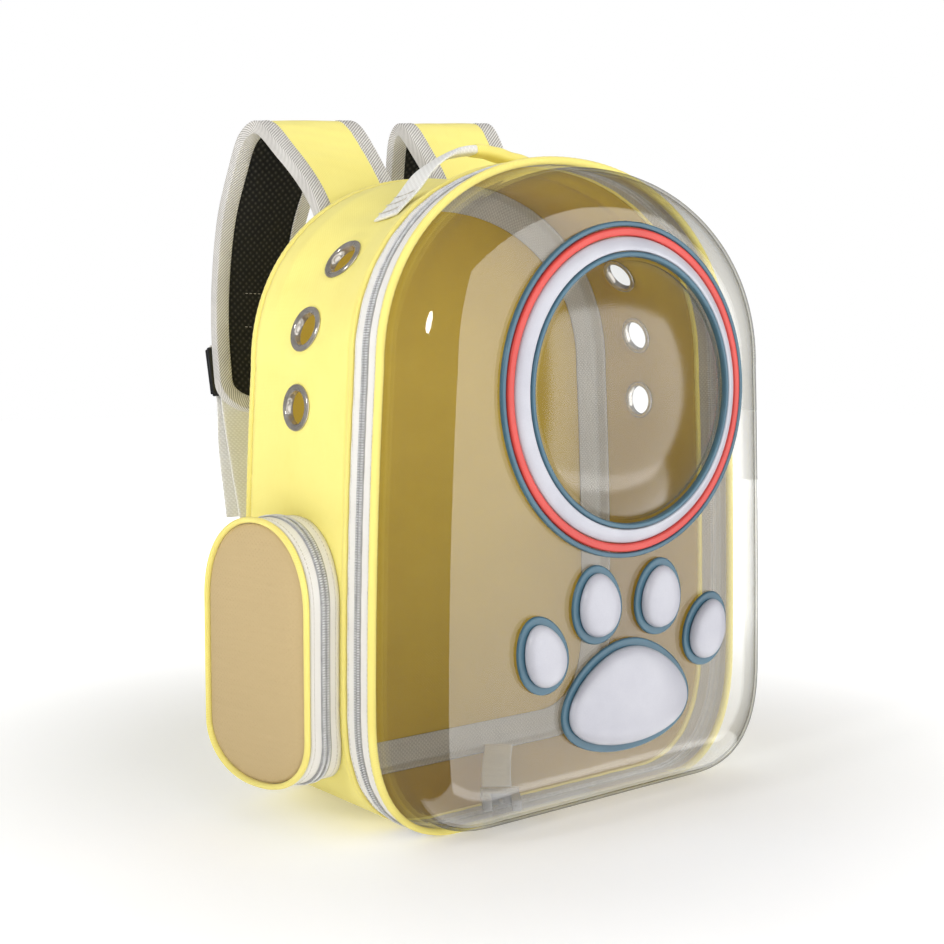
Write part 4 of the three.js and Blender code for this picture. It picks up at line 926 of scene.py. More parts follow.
FLANGE_MIDDLE, FLANGE_HALF, WASHER_RADIUS, ROLL = 12.95, 2.25, 13.9, 1.0
crown = [(FLANGE_MIDDLE + FLANGE_HALF * math.cos(a), FLANGE_SEAT + FLANGE * math.sin(a))
         for a in np.linspace(0, np.pi, 12)]
eyelet_profile = np.array([
    *crown, (EYELET_HOLE, -WASHER_DEPTH - ROLL), (EYELET_HOLE + 0.5, -WASHER_DEPTH - FLANGE),
    (WASHER_RADIUS - 0.5, -WASHER_DEPTH - FLANGE), (WASHER_RADIUS, -WASHER_DEPTH - ROLL),
    (WASHER_RADIUS, -WASHER_DEPTH),
    (EYELET_HOLE + EYELET_BARREL, -WASHER_DEPTH), (EYELET_HOLE + EYELET_BARREL, FLANGE_SEAT)])
for word, side in (("left", -1), ("right", 1)):
    for label, (back, height) in EYELETS.items():
        centre, normal = gusset_place(side, back, height)
        angles = np.arange(72)[:, None] / 72 * 2 * np.pi
        flat = np.stack([
            eyelet_profile[:, 0] * np.cos(angles), eyelet_profile[:, 0] * np.sin(angles),
            eyelet_profile[:, 1] + 0 * angles], -1) * MM
        turn = np.array(turned_to(normal, centre))
        ring = skin(f"eyelet_{word}_ring_{label}", flat @ turn[:3, :3].T + turn[:3, 3], eyelet_metal,
                    round_rings=True, round_rows=True)
        fitted(ring, "eyelet_metal", f"eyelet_{word}_{label}")

# Back panel: cloth over foam, sewn into the rear seam, so it stands fuller in its middle, with two
# shallow quilting channels behind. Grey binding tape laps the gusset and the panel's edge inside.
PANEL_INSET, PANEL_FRONT, PANEL_BACK = 4.0, 137.0, 149.0
CHANNEL_OUT, CHANNEL_DEPTH, CHANNEL_HALF, PANEL_MIDDLE, PANEL_SPLIT = 63.0, 1.6, 3.2, 212.0, 143.0
PUFF_STEPS, PUFF_PRESSURE, PANEL_PUFF, PAD_PUFF = 20, 4.0, 2.2, 0.7

# Painted shade: the panel's face towards the inside of the body is the yellow cloth coloured a darker ochre;
# its back is plain yellow.
panel_inside_painted_shade = woven("panel_inside_painted_shade", tone(198, 168, 56), tone(178, 146, 38), (0.0012, 0.0012),
                    axes="XZ", depth=0.00005)
panel_outer_cloth = woven("panel_outer_cloth", tone(251, 238, 136), tone(240, 221, 106), (0.0012, 0.0012),
                          axes="XZ")


def swell(piece, voxel, most):
    """Foam filling: the cover is blown up a little, and no point of it moves further than most"""
    even = piece.modifiers.new("even", "REMESH")
    even.mode = "VOXEL"
    even.voxel_size = voxel * MM
    settle(piece)
    start = points_of(piece)
    filling = piece.modifiers.new("filling", "CLOTH")
    filling.settings.quality = 5
    filling.settings.use_pressure = True
    filling.settings.uniform_pressure_force = PUFF_PRESSURE
    filling.settings.effector_weights.gravity = 0
    filling.point_cache.frame_start, filling.point_cache.frame_end = 1, PUFF_STEPS
    for moment in range(1, PUFF_STEPS + 1):
        scene.frame_set(moment)
    settle(piece)
    scene.frame_set(1)
    step = points_of(piece) - start
    length = np.linalg.norm(step, axis=1)[:, None]
    move_to(piece, start + step * np.minimum(1, most * MM / np.maximum(length, 1e-9)))
    return piece


def points_of(piece):
    flat = np.empty(3 * len(piece.data.vertices))
    piece.data.vertices.foreach_get("co", flat)
    return flat.reshape(-1, 3)


def move_to(piece, points):
    piece.data.vertices.foreach_set("co", points.ravel())
    piece.data.update()


def refine(piece):
    finer = piece.modifiers.new("finer", "SUBSURF")
    finer.levels = finer.render_levels = 1
    return settle(piece)


panel_rows = [(PANEL_FRONT + 4, 0.3), (PANEL_FRONT + 1.2, 3.0), (PANEL_FRONT + 0.8, 60.0),
              (PANEL_BACK - 0.5, 60.0), (PANEL_BACK - 1.5, 14.0), (PANEL_BACK - 4, 0.3)]
panel_x, panel_z = rim(np.arange(200)[:, None] / 200,
                       PANEL_INSET + np.array([inset for _, inset in panel_rows])[None, :])
panel_shape = body(panel_x, np.array([y for y, _ in panel_rows])[None, :], panel_z)
panel = skin("back_panel_pad", np.moveaxis(np.roll(panel_shape, -3, axis=1), 0, 1), panel_inside_painted_shade,
             round_rows=True, caps=True)
swell(panel, 5.5, PANEL_PUFF)
points = points_of(panel)
x, y, z = points[:, 0] / MM, (points[:, 1] - FRONT_SEAM) / MM, points[:, 2] / MM
channel = np.exp(-((np.abs(x) - CHANNEL_OUT) / CHANNEL_HALF) ** 2)
channel *= ease(z, 30, 60) * (1 - ease(z, 330, 372))
points[:, 1] -= CHANNEL_DEPTH * MM * channel * (y > PANEL_SPLIT)
move_to(panel, points)
refine(panel)
points = points_of(panel)
seam_x, seam_z = rim(np.linspace(0.5, 1.5, 2000), PANEL_INSET - 0.2)
seam_turn = np.unwrap(np.arctan2(seam_z - PANEL_MIDDLE, seam_x))
order = np.argsort(seam_turn)
x, z = points[:, 0] / MM, points[:, 2] / MM - PANEL_MIDDLE
turn = np.mod(np.arctan2(z, x) - seam_turn.min(), 2 * np.pi) + seam_turn.min()
limit = np.interp(turn, seam_turn[order], np.hypot(seam_x, seam_z - PANEL_MIDDLE)[order])
shrink = np.minimum(1, limit / np.maximum(np.hypot(x, z), 1e-6))
points[:, 0], points[:, 2] = x * shrink * MM, (z * shrink + PANEL_MIDDLE) * MM
move_to(panel, points)
panel.data.materials.append(panel_outer_cloth)
behind = np.array([face.center.y for face in panel.data.polygons]) > PANEL_SPLIT * MM + FRONT_SEAM
panel.data.polygons.foreach_set("material_index", behind.astype(np.int32))
fitted(panel, "yellow_cloth", "back_panel")

TAPE_LOW, TAPE_TOP, TAPE_LIP, TAPE_FOLD, TAPE_HEEL = 2.35, 3.7, 22.0, 135.6, 141.0
tape_rows = [(y, TAPE_LOW) for y in np.linspace(SAG_END + 0.2, TAPE_FOLD, 6)]
tape_rows += [(TAPE_HEEL, TAPE_LOW), (TAPE_HEEL, TAPE_TOP + 1), (TAPE_FOLD + 1, TAPE_TOP + 1.6),
              (TAPE_FOLD + 0.6, TAPE_LIP), (TAPE_FOLD - 0.6, TAPE_LIP), (TAPE_FOLD - 0.8, TAPE_TOP + 1.4)]
tape_rows += [(y, TAPE_TOP) for y in np.linspace(TAPE_FOLD - 2, SAG_END + 0.2, 6)]
tape_y = np.array([y for y, _ in tape_rows])[None, :]
tape_x, tape_z = rim(np.arange(420)[:, None] / 420, np.array([inset for _, inset in tape_rows])[None, :])
seam_tape = skin("inside_seam_tape", body(tape_x, tape_y, tape_z), grey_tape,
                 round_rings=True, round_rows=True)
fitted(seam_tape, "grey_webbing", "seam_tape")
inside_line, inside_out, _ = rim_path(126.2, 3.75)
inside_stitches = grains("inside_seam_stitches", [(inside_line, -inside_out, True)], STITCH,
                         sewing_thread, 6)
fitted(inside_stitches, "grey_webbing")

# Side pockets: a tall arched face of tan canvas, edged with a yellow cord, on a wall of white zip
# tape with its coil half way up. The wall is deeper at the back than at the front.
POCKET_FRONT, POCKET_WIDTH, POCKET_BOTTOM, POCKET_TOP = 31.0, 104.0, 27.0, 198.0
POCKET_TOP_ARCH, POCKET_FOOT_ARCH, POCKET_POWER = 56.0, 38.0, 2.15
POCKET_SHALLOW, POCKET_DEEP, POCKET_SEAM, POCKET_TAPE_END = 24.0, 37.0, 0.7, 0.86
POCKET_CORD, CORD_SHARE, CORD_REACH, FACE_INSET, FACE_CROWN, CANVAS = 1.9, 0.96, 0.075, 4.1, 4.0, 2.0
COIL_SHARES, TOOTH_SHARES, SEAM_SHARES = (0.29, 0.57), (0.365, 0.495), (0.12, 0.76)
FACE_RINGS = 34
POCKET_MIDDLE, POCKET_HALF_WAY = POCKET_FRONT + POCKET_WIDTH / 2, (POCKET_BOTTOM + POCKET_TOP) / 2

tan_canvas = woven("tan_canvas", tone(196, 172, 126), tone(84, 64, 36), (0.0019, 0.0015), axes="YZ",
                   slub=2.2, streak=3.2, depth=0.0003, mottle=0.35, sheen=0.05)


def pocket_arch(inset, count=320):
    """The pocket's outline as y and z, evenly spaced, once round from the middle of its foot"""
    half = POCKET_WIDTH / 2 - inset
    a = np.linspace(0, np.pi / 2, 400)
    wide = np.abs(np.sin(a)) ** (2 / POCKET_POWER) * half
    rise = 1 - np.abs(np.cos(a)) ** (2 / POCKET_POWER)
    low = POCKET_BOTTOM + inset + (POCKET_FOOT_ARCH - inset) * rise
    high = POCKET_TOP - inset - (POCKET_TOP_ARCH - inset) * rise
    y = np.concatenate([wide, wide[::-1], -wide, -wide[::-1]]) + POCKET_MIDDLE
    z = np.concatenate([low, high[::-1], high, low[::-1]])
    step = np.concatenate([[0], np.cumsum(np.hypot(np.diff(y), np.diff(z)))])
    wanted = np.arange(count) / count * step[-1]
    return np.interp(wanted, step, y), np.interp(wanted, step, z)


def pocket_place(side, share, y, z, puff=0.0):
    """Share 0 lies on the gusset and share 1 in the plane of the pocket's face"""
    wall = half_width_at(z) + POCKET_SEAM
    deep = POCKET_SHALLOW + (POCKET_DEEP - POCKET_SHALLOW) * (y - POCKET_FRONT) / POCKET_WIDTH
    return body(side * (wall + (HALF_WIDTH + deep - wall) * share + puff), y, z)


def pocket_band(name, side, rows, material, finish, node):
    grid = np.stack([pocket_place(side, share, *pocket_arch(inset)) for share, inset in rows], 1)
    return fitted(skin(name, grid, material, round_rings=True, round_rows=True), finish, node)


def pocket_path(side, share, inset):
    y, z = pocket_arch(inset)
    line = pocket_place(side, share, y, z)
    out = line - pocket_place(side, share, *pocket_arch(inset + 1))
    return line, out / np.linalg.norm(out, axis=1)[:, None], True


for word, side in (("left", -1), ("right", 1)):
    wall_rows = [(share, 1.1) for share in np.linspace(0, POCKET_TAPE_END, 9)]
    wall_rows += [(share, 2.6) for share in np.linspace(POCKET_TAPE_END, 0, 9)]
    wall = pocket_band(f"pocket_{word}_wall", side, wall_rows, white_tape, "white_tape",
                       f"pocket_{word}_tape")
    arch_y, arch_z = pocket_arch(0.0)
    arch_length = np.hypot(np.diff(arch_y, append=arch_y[:1]), np.diff(arch_z, append=arch_z[:1])).sum()
    low, high = COIL_SHARES
    core_band = [(low, 1.0), (low, 0.7), (high, 0.7), (high, 1.0)]
    pocket_band(f"pocket_{word}_coil_band", side, core_band, coil_core, "zip_coil", f"pocket_{word}_coil")
    pocket_teeth = grains(f"pocket_{word}_teeth", [pocket_path(side, share, 0.25) for share in TOOTH_SHARES],
                          {**TOOTH, "Lean": 0.22, "High": 1.3 * MM}, coil_nylon, 7)
    fitted(pocket_teeth, "zip_coil")
    pocket_stitches = grains(f"pocket_{word}_stitches",
                             [pocket_path(side, share, 1.05) for share in SEAM_SHARES], STITCH,
                             sewing_thread, 8)
    fitted(pocket_stitches, "white_tape")
    angles = (np.arange(14) + 0.5) / 14 * 2 * np.pi
    cord_rows = [(CORD_SHARE + CORD_REACH * math.cos(a), POCKET_CORD * (1 + math.sin(a))) for a in angles]
    pocket_band(f"pocket_{word}_cord", side, cord_rows, piping_cloth, "yellow_piping",
                f"pocket_{word}_piping")
    edge_y, edge_z = pocket_arch(FACE_INSET)
    edge_y, edge_z = edge_y - POCKET_MIDDLE, edge_z - POCKET_HALF_WAY
    face_rows = []
    scales = np.linspace(0, 1, FACE_RINGS)
    for scale, under in [(share, 0.0) for share in scales] + [(share, CANVAS) for share in scales[::-1]]:
        y, z = POCKET_MIDDLE + edge_y * scale, POCKET_HALF_WAY + edge_z * scale
        ripple = 0.55 * (1 - scale**3) * np.sin(y / 17) * np.sin(z / 29 + 1)
        face_rows.append(pocket_place(side, CORD_SHARE, y, z, FACE_CROWN * (1 - scale**5) + ripple - under))
    face = skin(f"pocket_{word}_canvas", np.stack(face_rows, 1), tan_canvas, round_rings=True)
    fitted(face, "tan_cloth", f"pocket_{word}_face")

# Shoulder straps: foam pads with black air mesh towards the wearer and yellow cloth outside, their
# edges bound with a folded grey-white ribbed tape. They rise from the top of the back panel.
STRAP_HALF, STRAP_TIP, PAD_HALF = 34.0, 24.0, 3.5
PAD_TACKS = (66.0, 92.0)
FOAM_INSET, FOAM_HALF, COVER_INSET, COVER_CROWN, RIPPLE, RIPPLE_PITCH = 2.0, 2.7, 1.0, 1.1, 0.09, 13.0
COVER_THICKNESS, COVER_LOW = 1.2, 3.0
BINDING_DEEP, BINDING_THICK, BINDING_LOW, BINDING_HIGH = 10.0, 0.8, -3.3, 4.5
BINDING_BEND, BINDING_SEAM = 5.0, 8.0
STRAP_ROUTES = {
    -1: [(57, 157.8, 392), (57, 170, 412), (57, 201, 444), (58, 233, 468), (61, 249, 461), (66, 261, 434),
         (71, 271, 402), (73, 279, 362), (76, 277, 320), (78, 270, 285), (79, 262, 256)],
    1: [(57, 157.8, 392), (57, 168, 416), (57, 190, 452), (58, 212, 475), (62, 228, 470), (67, 243, 442),
        (72, 256, 406), (74, 268, 364), (76, 271, 320), (78, 268, 285), (79, 262, 256)],
}

binding_tape = woven("binding_tape", tone(232, 229, 224), tone(146, 141, 134), (0.0024, 0.0018), lean=1.6,
                     slub=0.2, depth=0.0002, mottle=0.3)

mesh_finish = Finish("air_mesh", 0.85)
cells = mesh_finish.nodes.new("ShaderNodeTexVoronoi")
cells.inputs["Scale"].default_value = 1 / 0.0052
cells.inputs["Randomness"].default_value = 0.12
mesh_u, mesh_v = mesh_finish.place("XZ")
mesh_slant = mesh_finish.joined(
    mesh_finish.sum("ADD", mesh_u, mesh_v), mesh_finish.sum("SUBTRACT", mesh_u, mesh_v))
mesh_finish.links.new(mesh_slant, cells.inputs["Vector"])
# Painted highlight and shade: the black mesh is coloured grey on its raised cells and black in the hollows
# between them.
mesh_finish.colour(mesh_finish.ramp(cells.outputs["Distance"], [
    (0.08, tone(62, 60, 53)), (0.32, tone(22, 21, 18)), (0.55, tone(2, 2, 2))]))
mesh_finish.relief(mesh_finish.sum("SUBTRACT", 1.0, cells.outputs["Distance"]), 0.0008)
mesh_finish.shader.inputs["Sheen Weight"].default_value = 0.05
air_mesh = mesh_finish.material


def smooth_line(places, spacing):
    """Even points, in the places' unit, on a centripetal curve through places"""
    places = np.array(places, float)
    ends = [2 * places[0] - places[1], *places, 2 * places[-1] - places[-2]]
    samples = []
    for p0, p1, p2, p3 in zip(ends, ends[1:], ends[2:], ends[3:]):
        d0, d1, d2 = (math.sqrt(np.linalg.norm(b - a)) for a, b in ((p0, p1), (p1, p2), (p2, p3)))
        m1 = ((p1 - p0) / d0 - (p2 - p0) / (d0 + d1) + (p2 - p1) / d1) * d1
        m2 = ((p2 - p1) / d1 - (p3 - p1) / (d1 + d2) + (p3 - p2) / d2) * d1
        t = np.linspace(0, 1, 60, endpoint=False)[:, None]
        samples.append(p1 + m1 * t + (3 * (p2 - p1) - 2 * m1 - m2) * t**2
                       + (2 * (p1 - p2) + m1 + m2) * t**3)
    line = np.concatenate([*samples, places[-1:]])
    length = np.concatenate([[0], np.cumsum(np.linalg.norm(np.diff(line, axis=0), axis=1))])
    wanted = np.linspace(0, length[-1], max(int(length[-1] / spacing), 4))
    return np.stack([np.interp(wanted, length, line[:, k]) for k in range(3)], 1), length[-1]


ACROSS = np.array([1.0, 0.0, 0.0])
STRAP_LEAN, STRAP_TWIST, STRAP_CREST, STRAP_FADE = 0.06, np.array([0.0, -0.34, 0.0]), 110.0, 75.0
COVER_BEND, COVER_BEND_REACH = 95.0, 45.0


class Route:
    """A strap's middle line, and its layers' points by length, across and outward"""

    def __init__(self, side):
        self.line, self.length = smooth_line([(side * x, y, z) for x, y, z in STRAP_ROUTES[side]], 1.0)
        self.run = np.linspace(0, self.length, len(self.line))
        tangent = np.gradient(self.line, axis=0)
        out = np.cross(ACROSS, tangent)
        self.out = out / np.linalg.norm(out, axis=1)[:, None]

    def at(self, s):
        s = np.clip(s, 0, self.length)
        middle = np.stack([np.interp(s, self.run, self.line[:, k]) for k in range(3)], -1)
        out = np.stack([np.interp(s, self.run, self.out[:, k]) for k in range(3)], -1)
        return middle, out

    def point(self, s, across, outward):
        s, across, outward = np.broadcast_arrays(s, across, outward)
        middle, out = self.at(s)
        share = np.exp(-((s - STRAP_CREST) / STRAP_FADE) ** 2)[..., None]
        way = ACROSS + share * (STRAP_LEAN * out + STRAP_TWIST)
        return middle + across[..., None] * way + outward[..., None] * out


def metres(points):
    return body(points[..., 0], points[..., 1], points[..., 2])


def strap_stations(route, inset, count):
    """Lengths and half widths of a strap's layer, straight and then round its tip"""
    end, tip = route.length - STRAP_TIP, STRAP_TIP - inset
    s = np.concatenate([np.linspace(0, end, count, endpoint=False),
                        end + tip * np.sin(np.linspace(0, np.pi / 2, 16))])
    half = (STRAP_HALF - inset) * np.sqrt(np.clip(1 - np.clip((s - end) / tip, 0, 1) ** 2, 0, 1))
    return s, half


strap_routes = {side: Route(side) for side in (-1, 1)}
for word, side in (("left", -1), ("right", 1)):
    route = strap_routes[side]
    length = route.length
    s, half = strap_stations(route, FOAM_INSET, 90)
    angles = np.arange(28) / 28 * 2 * np.pi
    wide = np.sign(np.cos(angles)) * np.abs(np.cos(angles)) ** (2 / 5)
    thick = np.sign(np.sin(angles)) * np.abs(np.sin(angles)) ** (2 / 3)
    ring = np.maximum(half, 1.0)[:, None] * wide[None, :]
    pad_points = route.point(s[:, None], ring, FOAM_HALF * thick[None, :] + 0 * ring)
    pad = skin(f"strap_{word}_foam", metres(pad_points), air_mesh, round_rows=True, caps=True)
    swell(pad, 4.0, PAD_PUFF)
    refine(pad)
    fitted(pad, "black_mesh", f"strap_{word}_pad")
    s, half = strap_stations(route, COVER_INSET, 150)
    columns = np.linspace(-1, 1, 25)
    shape = np.sign(columns) * np.abs(columns) ** 0.9
    lift = COVER_LOW + COVER_CROWN * (1 - np.abs(columns) ** 3)[None, :] * np.clip(half / 20, 0, 1)[:, None]
    bend = np.exp(-((s - COVER_BEND) / COVER_BEND_REACH) ** 2)[:, None] + 0.4
    lift += RIPPLE * bend * np.sin(2 * np.pi * (s[:, None] / RIPPLE_PITCH + 0.35 * np.sin(shape * 3)))
    top = route.point(s[:, None], half[:, None] * shape[None, :], lift + COVER_THICKNESS)
    bottom = route.point(s[:, None], half[:, None] * shape[None, :], lift)
    cover = skin(f"strap_{word}_cloth", metres(np.concatenate([top, bottom[:, ::-1]], 1)), yellow_cloth,
                 round_rows=True, caps=True)
    fitted(cover, "yellow_cloth", f"strap_{word}_cover")

    end = length - STRAP_TIP
    edge = np.linspace(0, end, 150, endpoint=False)
    bends = np.linspace(0, np.pi, 41)
    run_s = np.concatenate([edge, end + STRAP_TIP * np.sin(bends), edge[::-1]])
    run_a = np.concatenate([-STRAP_HALF + 0 * edge, -STRAP_HALF * np.cos(bends), STRAP_HALF + 0 * edge])
    in_s = np.concatenate([0 * edge, -np.sin(bends), 0 * edge])
    in_a = np.concatenate([1 + 0 * edge, np.cos(bends), -1 + 0 * edge])
    middle = (BINDING_LOW + BINDING_HIGH) / 2
    tall = (BINDING_HIGH - BINDING_LOW) / 2
    fold = np.linspace(np.pi / 2, 3 * np.pi / 2, 11)
    top_side, foot_side = BINDING_HIGH + BINDING_THICK, BINDING_LOW - BINDING_THICK
    bulge = np.abs(np.cos(fold)) ** 0.5
    outside_fold = list(zip(0.2 - bulge, middle + (tall + BINDING_THICK) * np.sin(fold)))
    inside_fold = list(zip(0.7 - 0.6 * bulge, middle + tall * np.sin(fold)))
    profile = [(BINDING_DEEP, top_side - 0.3), (BINDING_DEEP - 0.6, top_side), (BINDING_BEND, top_side),
               *outside_fold, (BINDING_BEND, foot_side), (BINDING_DEEP - 0.6, foot_side),
               (BINDING_DEEP, foot_side + 0.3), (BINDING_DEEP, BINDING_LOW), (BINDING_BEND, BINDING_LOW),
               *inside_fold[::-1], (BINDING_BEND, BINDING_HIGH), (BINDING_DEEP, BINDING_HIGH)]
    deep = np.array([d for d, _ in profile])[None, :]
    high = np.array([o for _, o in profile])[None, :] + 0 * run_s[:, None]
    binding_points = route.point(run_s[:, None] + deep * in_s[:, None],
                                 run_a[:, None] + deep * in_a[:, None], high + 0 * deep)
    binding = skin(f"strap_{word}_edge", metres(binding_points), binding_tape, round_rows=True, caps=True)
    fitted(binding, "white_tape", f"strap_{word}_binding")
    lines = []
    for height, way in ((top_side + 0.1, 1), (foot_side - 0.1, -1)):
        seam = route.point(run_s + BINDING_SEAM * in_s, run_a + BINDING_SEAM * in_a, height + 0 * run_s)
        _, out = route.at(run_s)
        lines.append((metres(seam), out * way, False))
    for back_by in PAD_TACKS:
        tack = route.point(length - back_by, np.linspace(-9, 9, 10), -PAD_HALF - 0.4)
        lines.append((metres(tack), -route.at(np.full(10, length - back_by))[1], False))
    fitted(grains(f"strap_{word}_stitches", lines, STITCH, sewing_thread, 9), "white_tape")

# Ladder locks at the straps' lower ends, of black nylon: a plate with three bars. A short tab holds
# each to its strap, and the webbing from the base seam goes up, round the low bar and hangs loose.
LOCK_HEIGHT, LOCK_WIDTH, LOCK_THICKNESS, LOCK_BAR, LOCK_FRAME = 38.0, 36.0, 4.0, 5.0, 4.2
LOCK_FROM_TIP, LOCK_OUT, LOCK_ASIDE, TAB_LENGTH = 36.0, 19.0, 13.0, 34.0
WEB_HALF, WEB_THICK, WEB_GAP = 12.5, 0.9, 0.6
ANCHOR = (118.0, 153.2, 24.0)
TAIL_LENGTH, TAB_LIFT = 95.0, 6.2

black_nylon = moulded("black_nylon", tone(34, 36, 40), tone(20, 21, 24), 0.42, 0.0005, 0.1)
webbing_weave = woven("webbing_weave", tone(246, 245, 241), tone(212, 209, 203), (0.0018, 0.0018),
                      slub=0.25, depth=0.00025, mottle=0.3)


def web(name, line, across, half, thick, material, power=5.0):
    """A flat web with soft edges; the arrays give its places, ways, half widths and thicknesses"""
    count = len(line)
    tangent = np.gradient(line, axis=0)
    across = across + 0 * line
    out = np.cross(across, tangent)
    out /= np.linalg.norm(out, axis=1)[:, None]
    angles = (np.arange(20) + 0.5) / 20 * 2 * np.pi
    wide = np.sign(np.cos(angles)) * np.abs(np.cos(angles)) ** (2 / power)
    high = np.sign(np.sin(angles)) * np.abs(np.sin(angles)) ** (2 / 3)
    half, thick = half + np.zeros(count), thick + np.zeros(count)
    grid = (line[:, None, :] + (half[:, None] * wide)[..., None] * across[:, None, :]
            + (thick[:, None] * high)[..., None] * out[:, None, :])
    return skin(name, metres(grid), material, round_rows=True, caps=True)


for word, side in (("left", -1), ("right", 1)):
    route = strap_routes[side]
    middle, out = route.at(np.array(route.length - LOCK_FROM_TIP))
    up = np.cross(ACROSS, out)
    centre = middle + out * LOCK_OUT + side * LOCK_ASIDE * ACROSS

    def in_lock(up_by, out_by):
        return centre + up * up_by + out * out_by

    frame_turn = Matrix(((-1, 0, 0), tuple(up), tuple(out))).transposed().to_4x4()
    lock_frame = Matrix.Translation(Vector(body(*centre))) @ frame_turn @ Matrix.Scale(MM, 4)
    tall, bar = LOCK_HEIGHT / 2, LOCK_BAR
    side_x = LOCK_WIDTH / 2 - LOCK_FRAME / 2
    lock = blocks(f"ladder_lock_{word}_body", [
        ((-side_x, 0, 0), (LOCK_FRAME, LOCK_HEIGHT - 3, LOCK_THICKNESS)),
        ((side_x, 0, 0), (LOCK_FRAME, LOCK_HEIGHT - 3, LOCK_THICKNESS)),
        ((0, tall - bar / 2, 0), (LOCK_WIDTH - 3, bar, LOCK_THICKNESS)),
        ((0, -tall + bar / 2, 0), (LOCK_WIDTH - 3, bar, LOCK_THICKNESS)),
        ((0, 0, 0), (LOCK_WIDTH - 4, bar, LOCK_THICKNESS - 0.6)),
    ], black_nylon, 0.9, lock_frame)
    fitted(lock, "black_plastic", f"ladder_lock_{word}")

    reach = bar / 2 + WEB_THICK + WEB_GAP
    clear_out = LOCK_THICKNESS / 2 + WEB_THICK + WEB_GAP

    def round_bar(at, way):
        return [in_lock(at + way * a, o) for a, o in (
            (0, -clear_out), (reach * 0.75, -clear_out), (reach, -clear_out * 0.6),
            (reach, clear_out * 0.6), (reach * 0.75, clear_out), (0, clear_out))]

    top_bar, low_bar = tall - bar / 2, -tall + bar / 2
    tab_end = route.length - LOCK_FROM_TIP - top_bar
    on_strap = [route.point(np.array(tab_end - a), np.array(0.0), np.array(TAB_LIFT))
                for a in (TAB_LENGTH, TAB_LENGTH / 2)]
    tab_line, _ = smooth_line([*on_strap, *round_bar(top_bar, -1),
                               in_lock(top_bar + bar, LOCK_THICKNESS / 2 + 2 * WEB_THICK)], 1.2)
    fitted(web(f"lock_tab_{word}_web", tab_line, ACROSS, WEB_HALF, WEB_THICK, webbing_weave),
           "white_tape", f"lock_tab_{word}")
    anchor = np.array([side * ANCHOR[0], ANCHOR[1], ANCHOR[2]])
    wrap = round_bar(low_bar, 1)
    below = in_lock(low_bar - LOCK_FROM_TIP * 0.7, -clear_out)
    web_line, _ = smooth_line([
        anchor, anchor + (0, 0.3, 25), (anchor + below) / 2, below,
        in_lock(low_bar - bar, -clear_out), *wrap, in_lock(low_bar - bar * 1.6, clear_out),
        in_lock(low_bar - TAIL_LENGTH * 0.4, clear_out + 6), in_lock(low_bar - TAIL_LENGTH, clear_out + 8),
    ], 1.6)
    fitted(web(f"webbing_{word}_web", web_line, ACROSS, WEB_HALF, WEB_THICK, webbing_weave),
           "white_tape", f"webbing_{word}")

# Carry handle: a white webbing loop over the top of the gusset, sewn flat at both ends and folded
# into a narrow grip between them, with a yellow cloth sleeve round the grip's middle.
HANDLE_BACK, HANDLE_HALF, HANDLE_THICK, GRIP_HALF, GRIP_THICK = 62.0, 15.0, 1.0, 6.0, 3.0
SLEEVE, SLEEVE_HALF, SLEEVE_FLATTER = (-34.0, 30.0), 6.9, 2.7
HANDLE_ROUTE = [
    (-107, 2.2, 0), (-88, 5.5, 0), (-67, 14.5, 0), (-46, 19, 0.75), (-26, 19, 1), (0, 14, 1),
    (26, 11.5, 1), (48, 11, 0.7), (70, 9, 0), (90, 5, 0), (107, 2.2, 0),
]


def on_cloth(x, y, lift):
    cloth = np.array(sagged(x, y, height_at(x)))
    out = np.array([cloth[0], 0, cloth[2] - SPRING_HEIGHT])
    return cloth + out / np.linalg.norm(out) * lift


handle_line, _ = smooth_line([on_cloth(x, HANDLE_BACK, lift) for x, lift, _ in HANDLE_ROUTE], 1.3)
handle_x = handle_line[:, 0]
grip = ease(np.interp(handle_x, [x for x, _, _ in HANDLE_ROUTE], [g for _, _, g in HANDLE_ROUTE]), 0, 1)
handle_across = np.array([
    on_cloth(x, HANDLE_BACK + HANDLE_HALF, 0) - on_cloth(x, HANDLE_BACK - HANDLE_HALF, 0)
    for x in handle_x])
handle_across /= np.linalg.norm(handle_across, axis=1)[:, None]
handle = web("carry_handle", handle_line, handle_across, HANDLE_HALF + (GRIP_HALF - HANDLE_HALF) * grip,
             HANDLE_THICK + (GRIP_THICK - HANDLE_THICK) * grip, webbing_weave)
fitted(handle, "white_tape", "grab_handle")
sleeve_part = (handle_x > SLEEVE[0]) & (handle_x < SLEEVE[1])
sleeve_line = handle_line[sleeve_part]
sleeve_share = np.linspace(0, 1, len(sleeve_line))
sleeve_half = SLEEVE_HALF + 0.2 * np.sin(sleeve_share * 23) - 0.5 * np.abs(2 * sleeve_share - 1) ** 6
sleeve = web("carry_handle_sleeve", sleeve_line, handle_across[sleeve_part], sleeve_half,
             sleeve_half - SLEEVE_FLATTER, yellow_cloth, power=2.6)
fitted(sleeve, "yellow_cloth")
tacks = []
for x0 in (-103, -96, -89, 89, 96, 103):
    across_line = [on_cloth(x0, HANDLE_BACK + a, np.interp(abs(x0), [89, 107], [5.2, 2.2]) + 1.05)
                   for a in np.linspace(-12, 12, 14)]
    tacks.append((metres(np.array(across_line)), np.array([x0, 0.0, 60.0]) / math.hypot(x0, 60), False))
fitted(grains("carry_handle_tacks", tacks, {**STITCH, "Pitch": 1.3 * MM, "Long": 1.9 * MM, "Lean": 0.7},
              sewing_thread, 10), "white_tape")

# Safety leash: ribbed grey webbing from the rear seam over the cabin's floor, its end folded and
# tacked round a smoky plastic clip.
LEASH_HALF, LEASH_THICK, LEASH_STEP = 10.0, 0.9, 1.2
LEASH_ROUTE = [(42, 126, 5.1), (24, 102, 12), (-6, 68, 15), (-36, 32, 12), (-52, 10, 12)]
CLIP_LENGTH, CLIP_WIDTH, CLIP_THICKNESS = 30.0, 25.0, 8.0

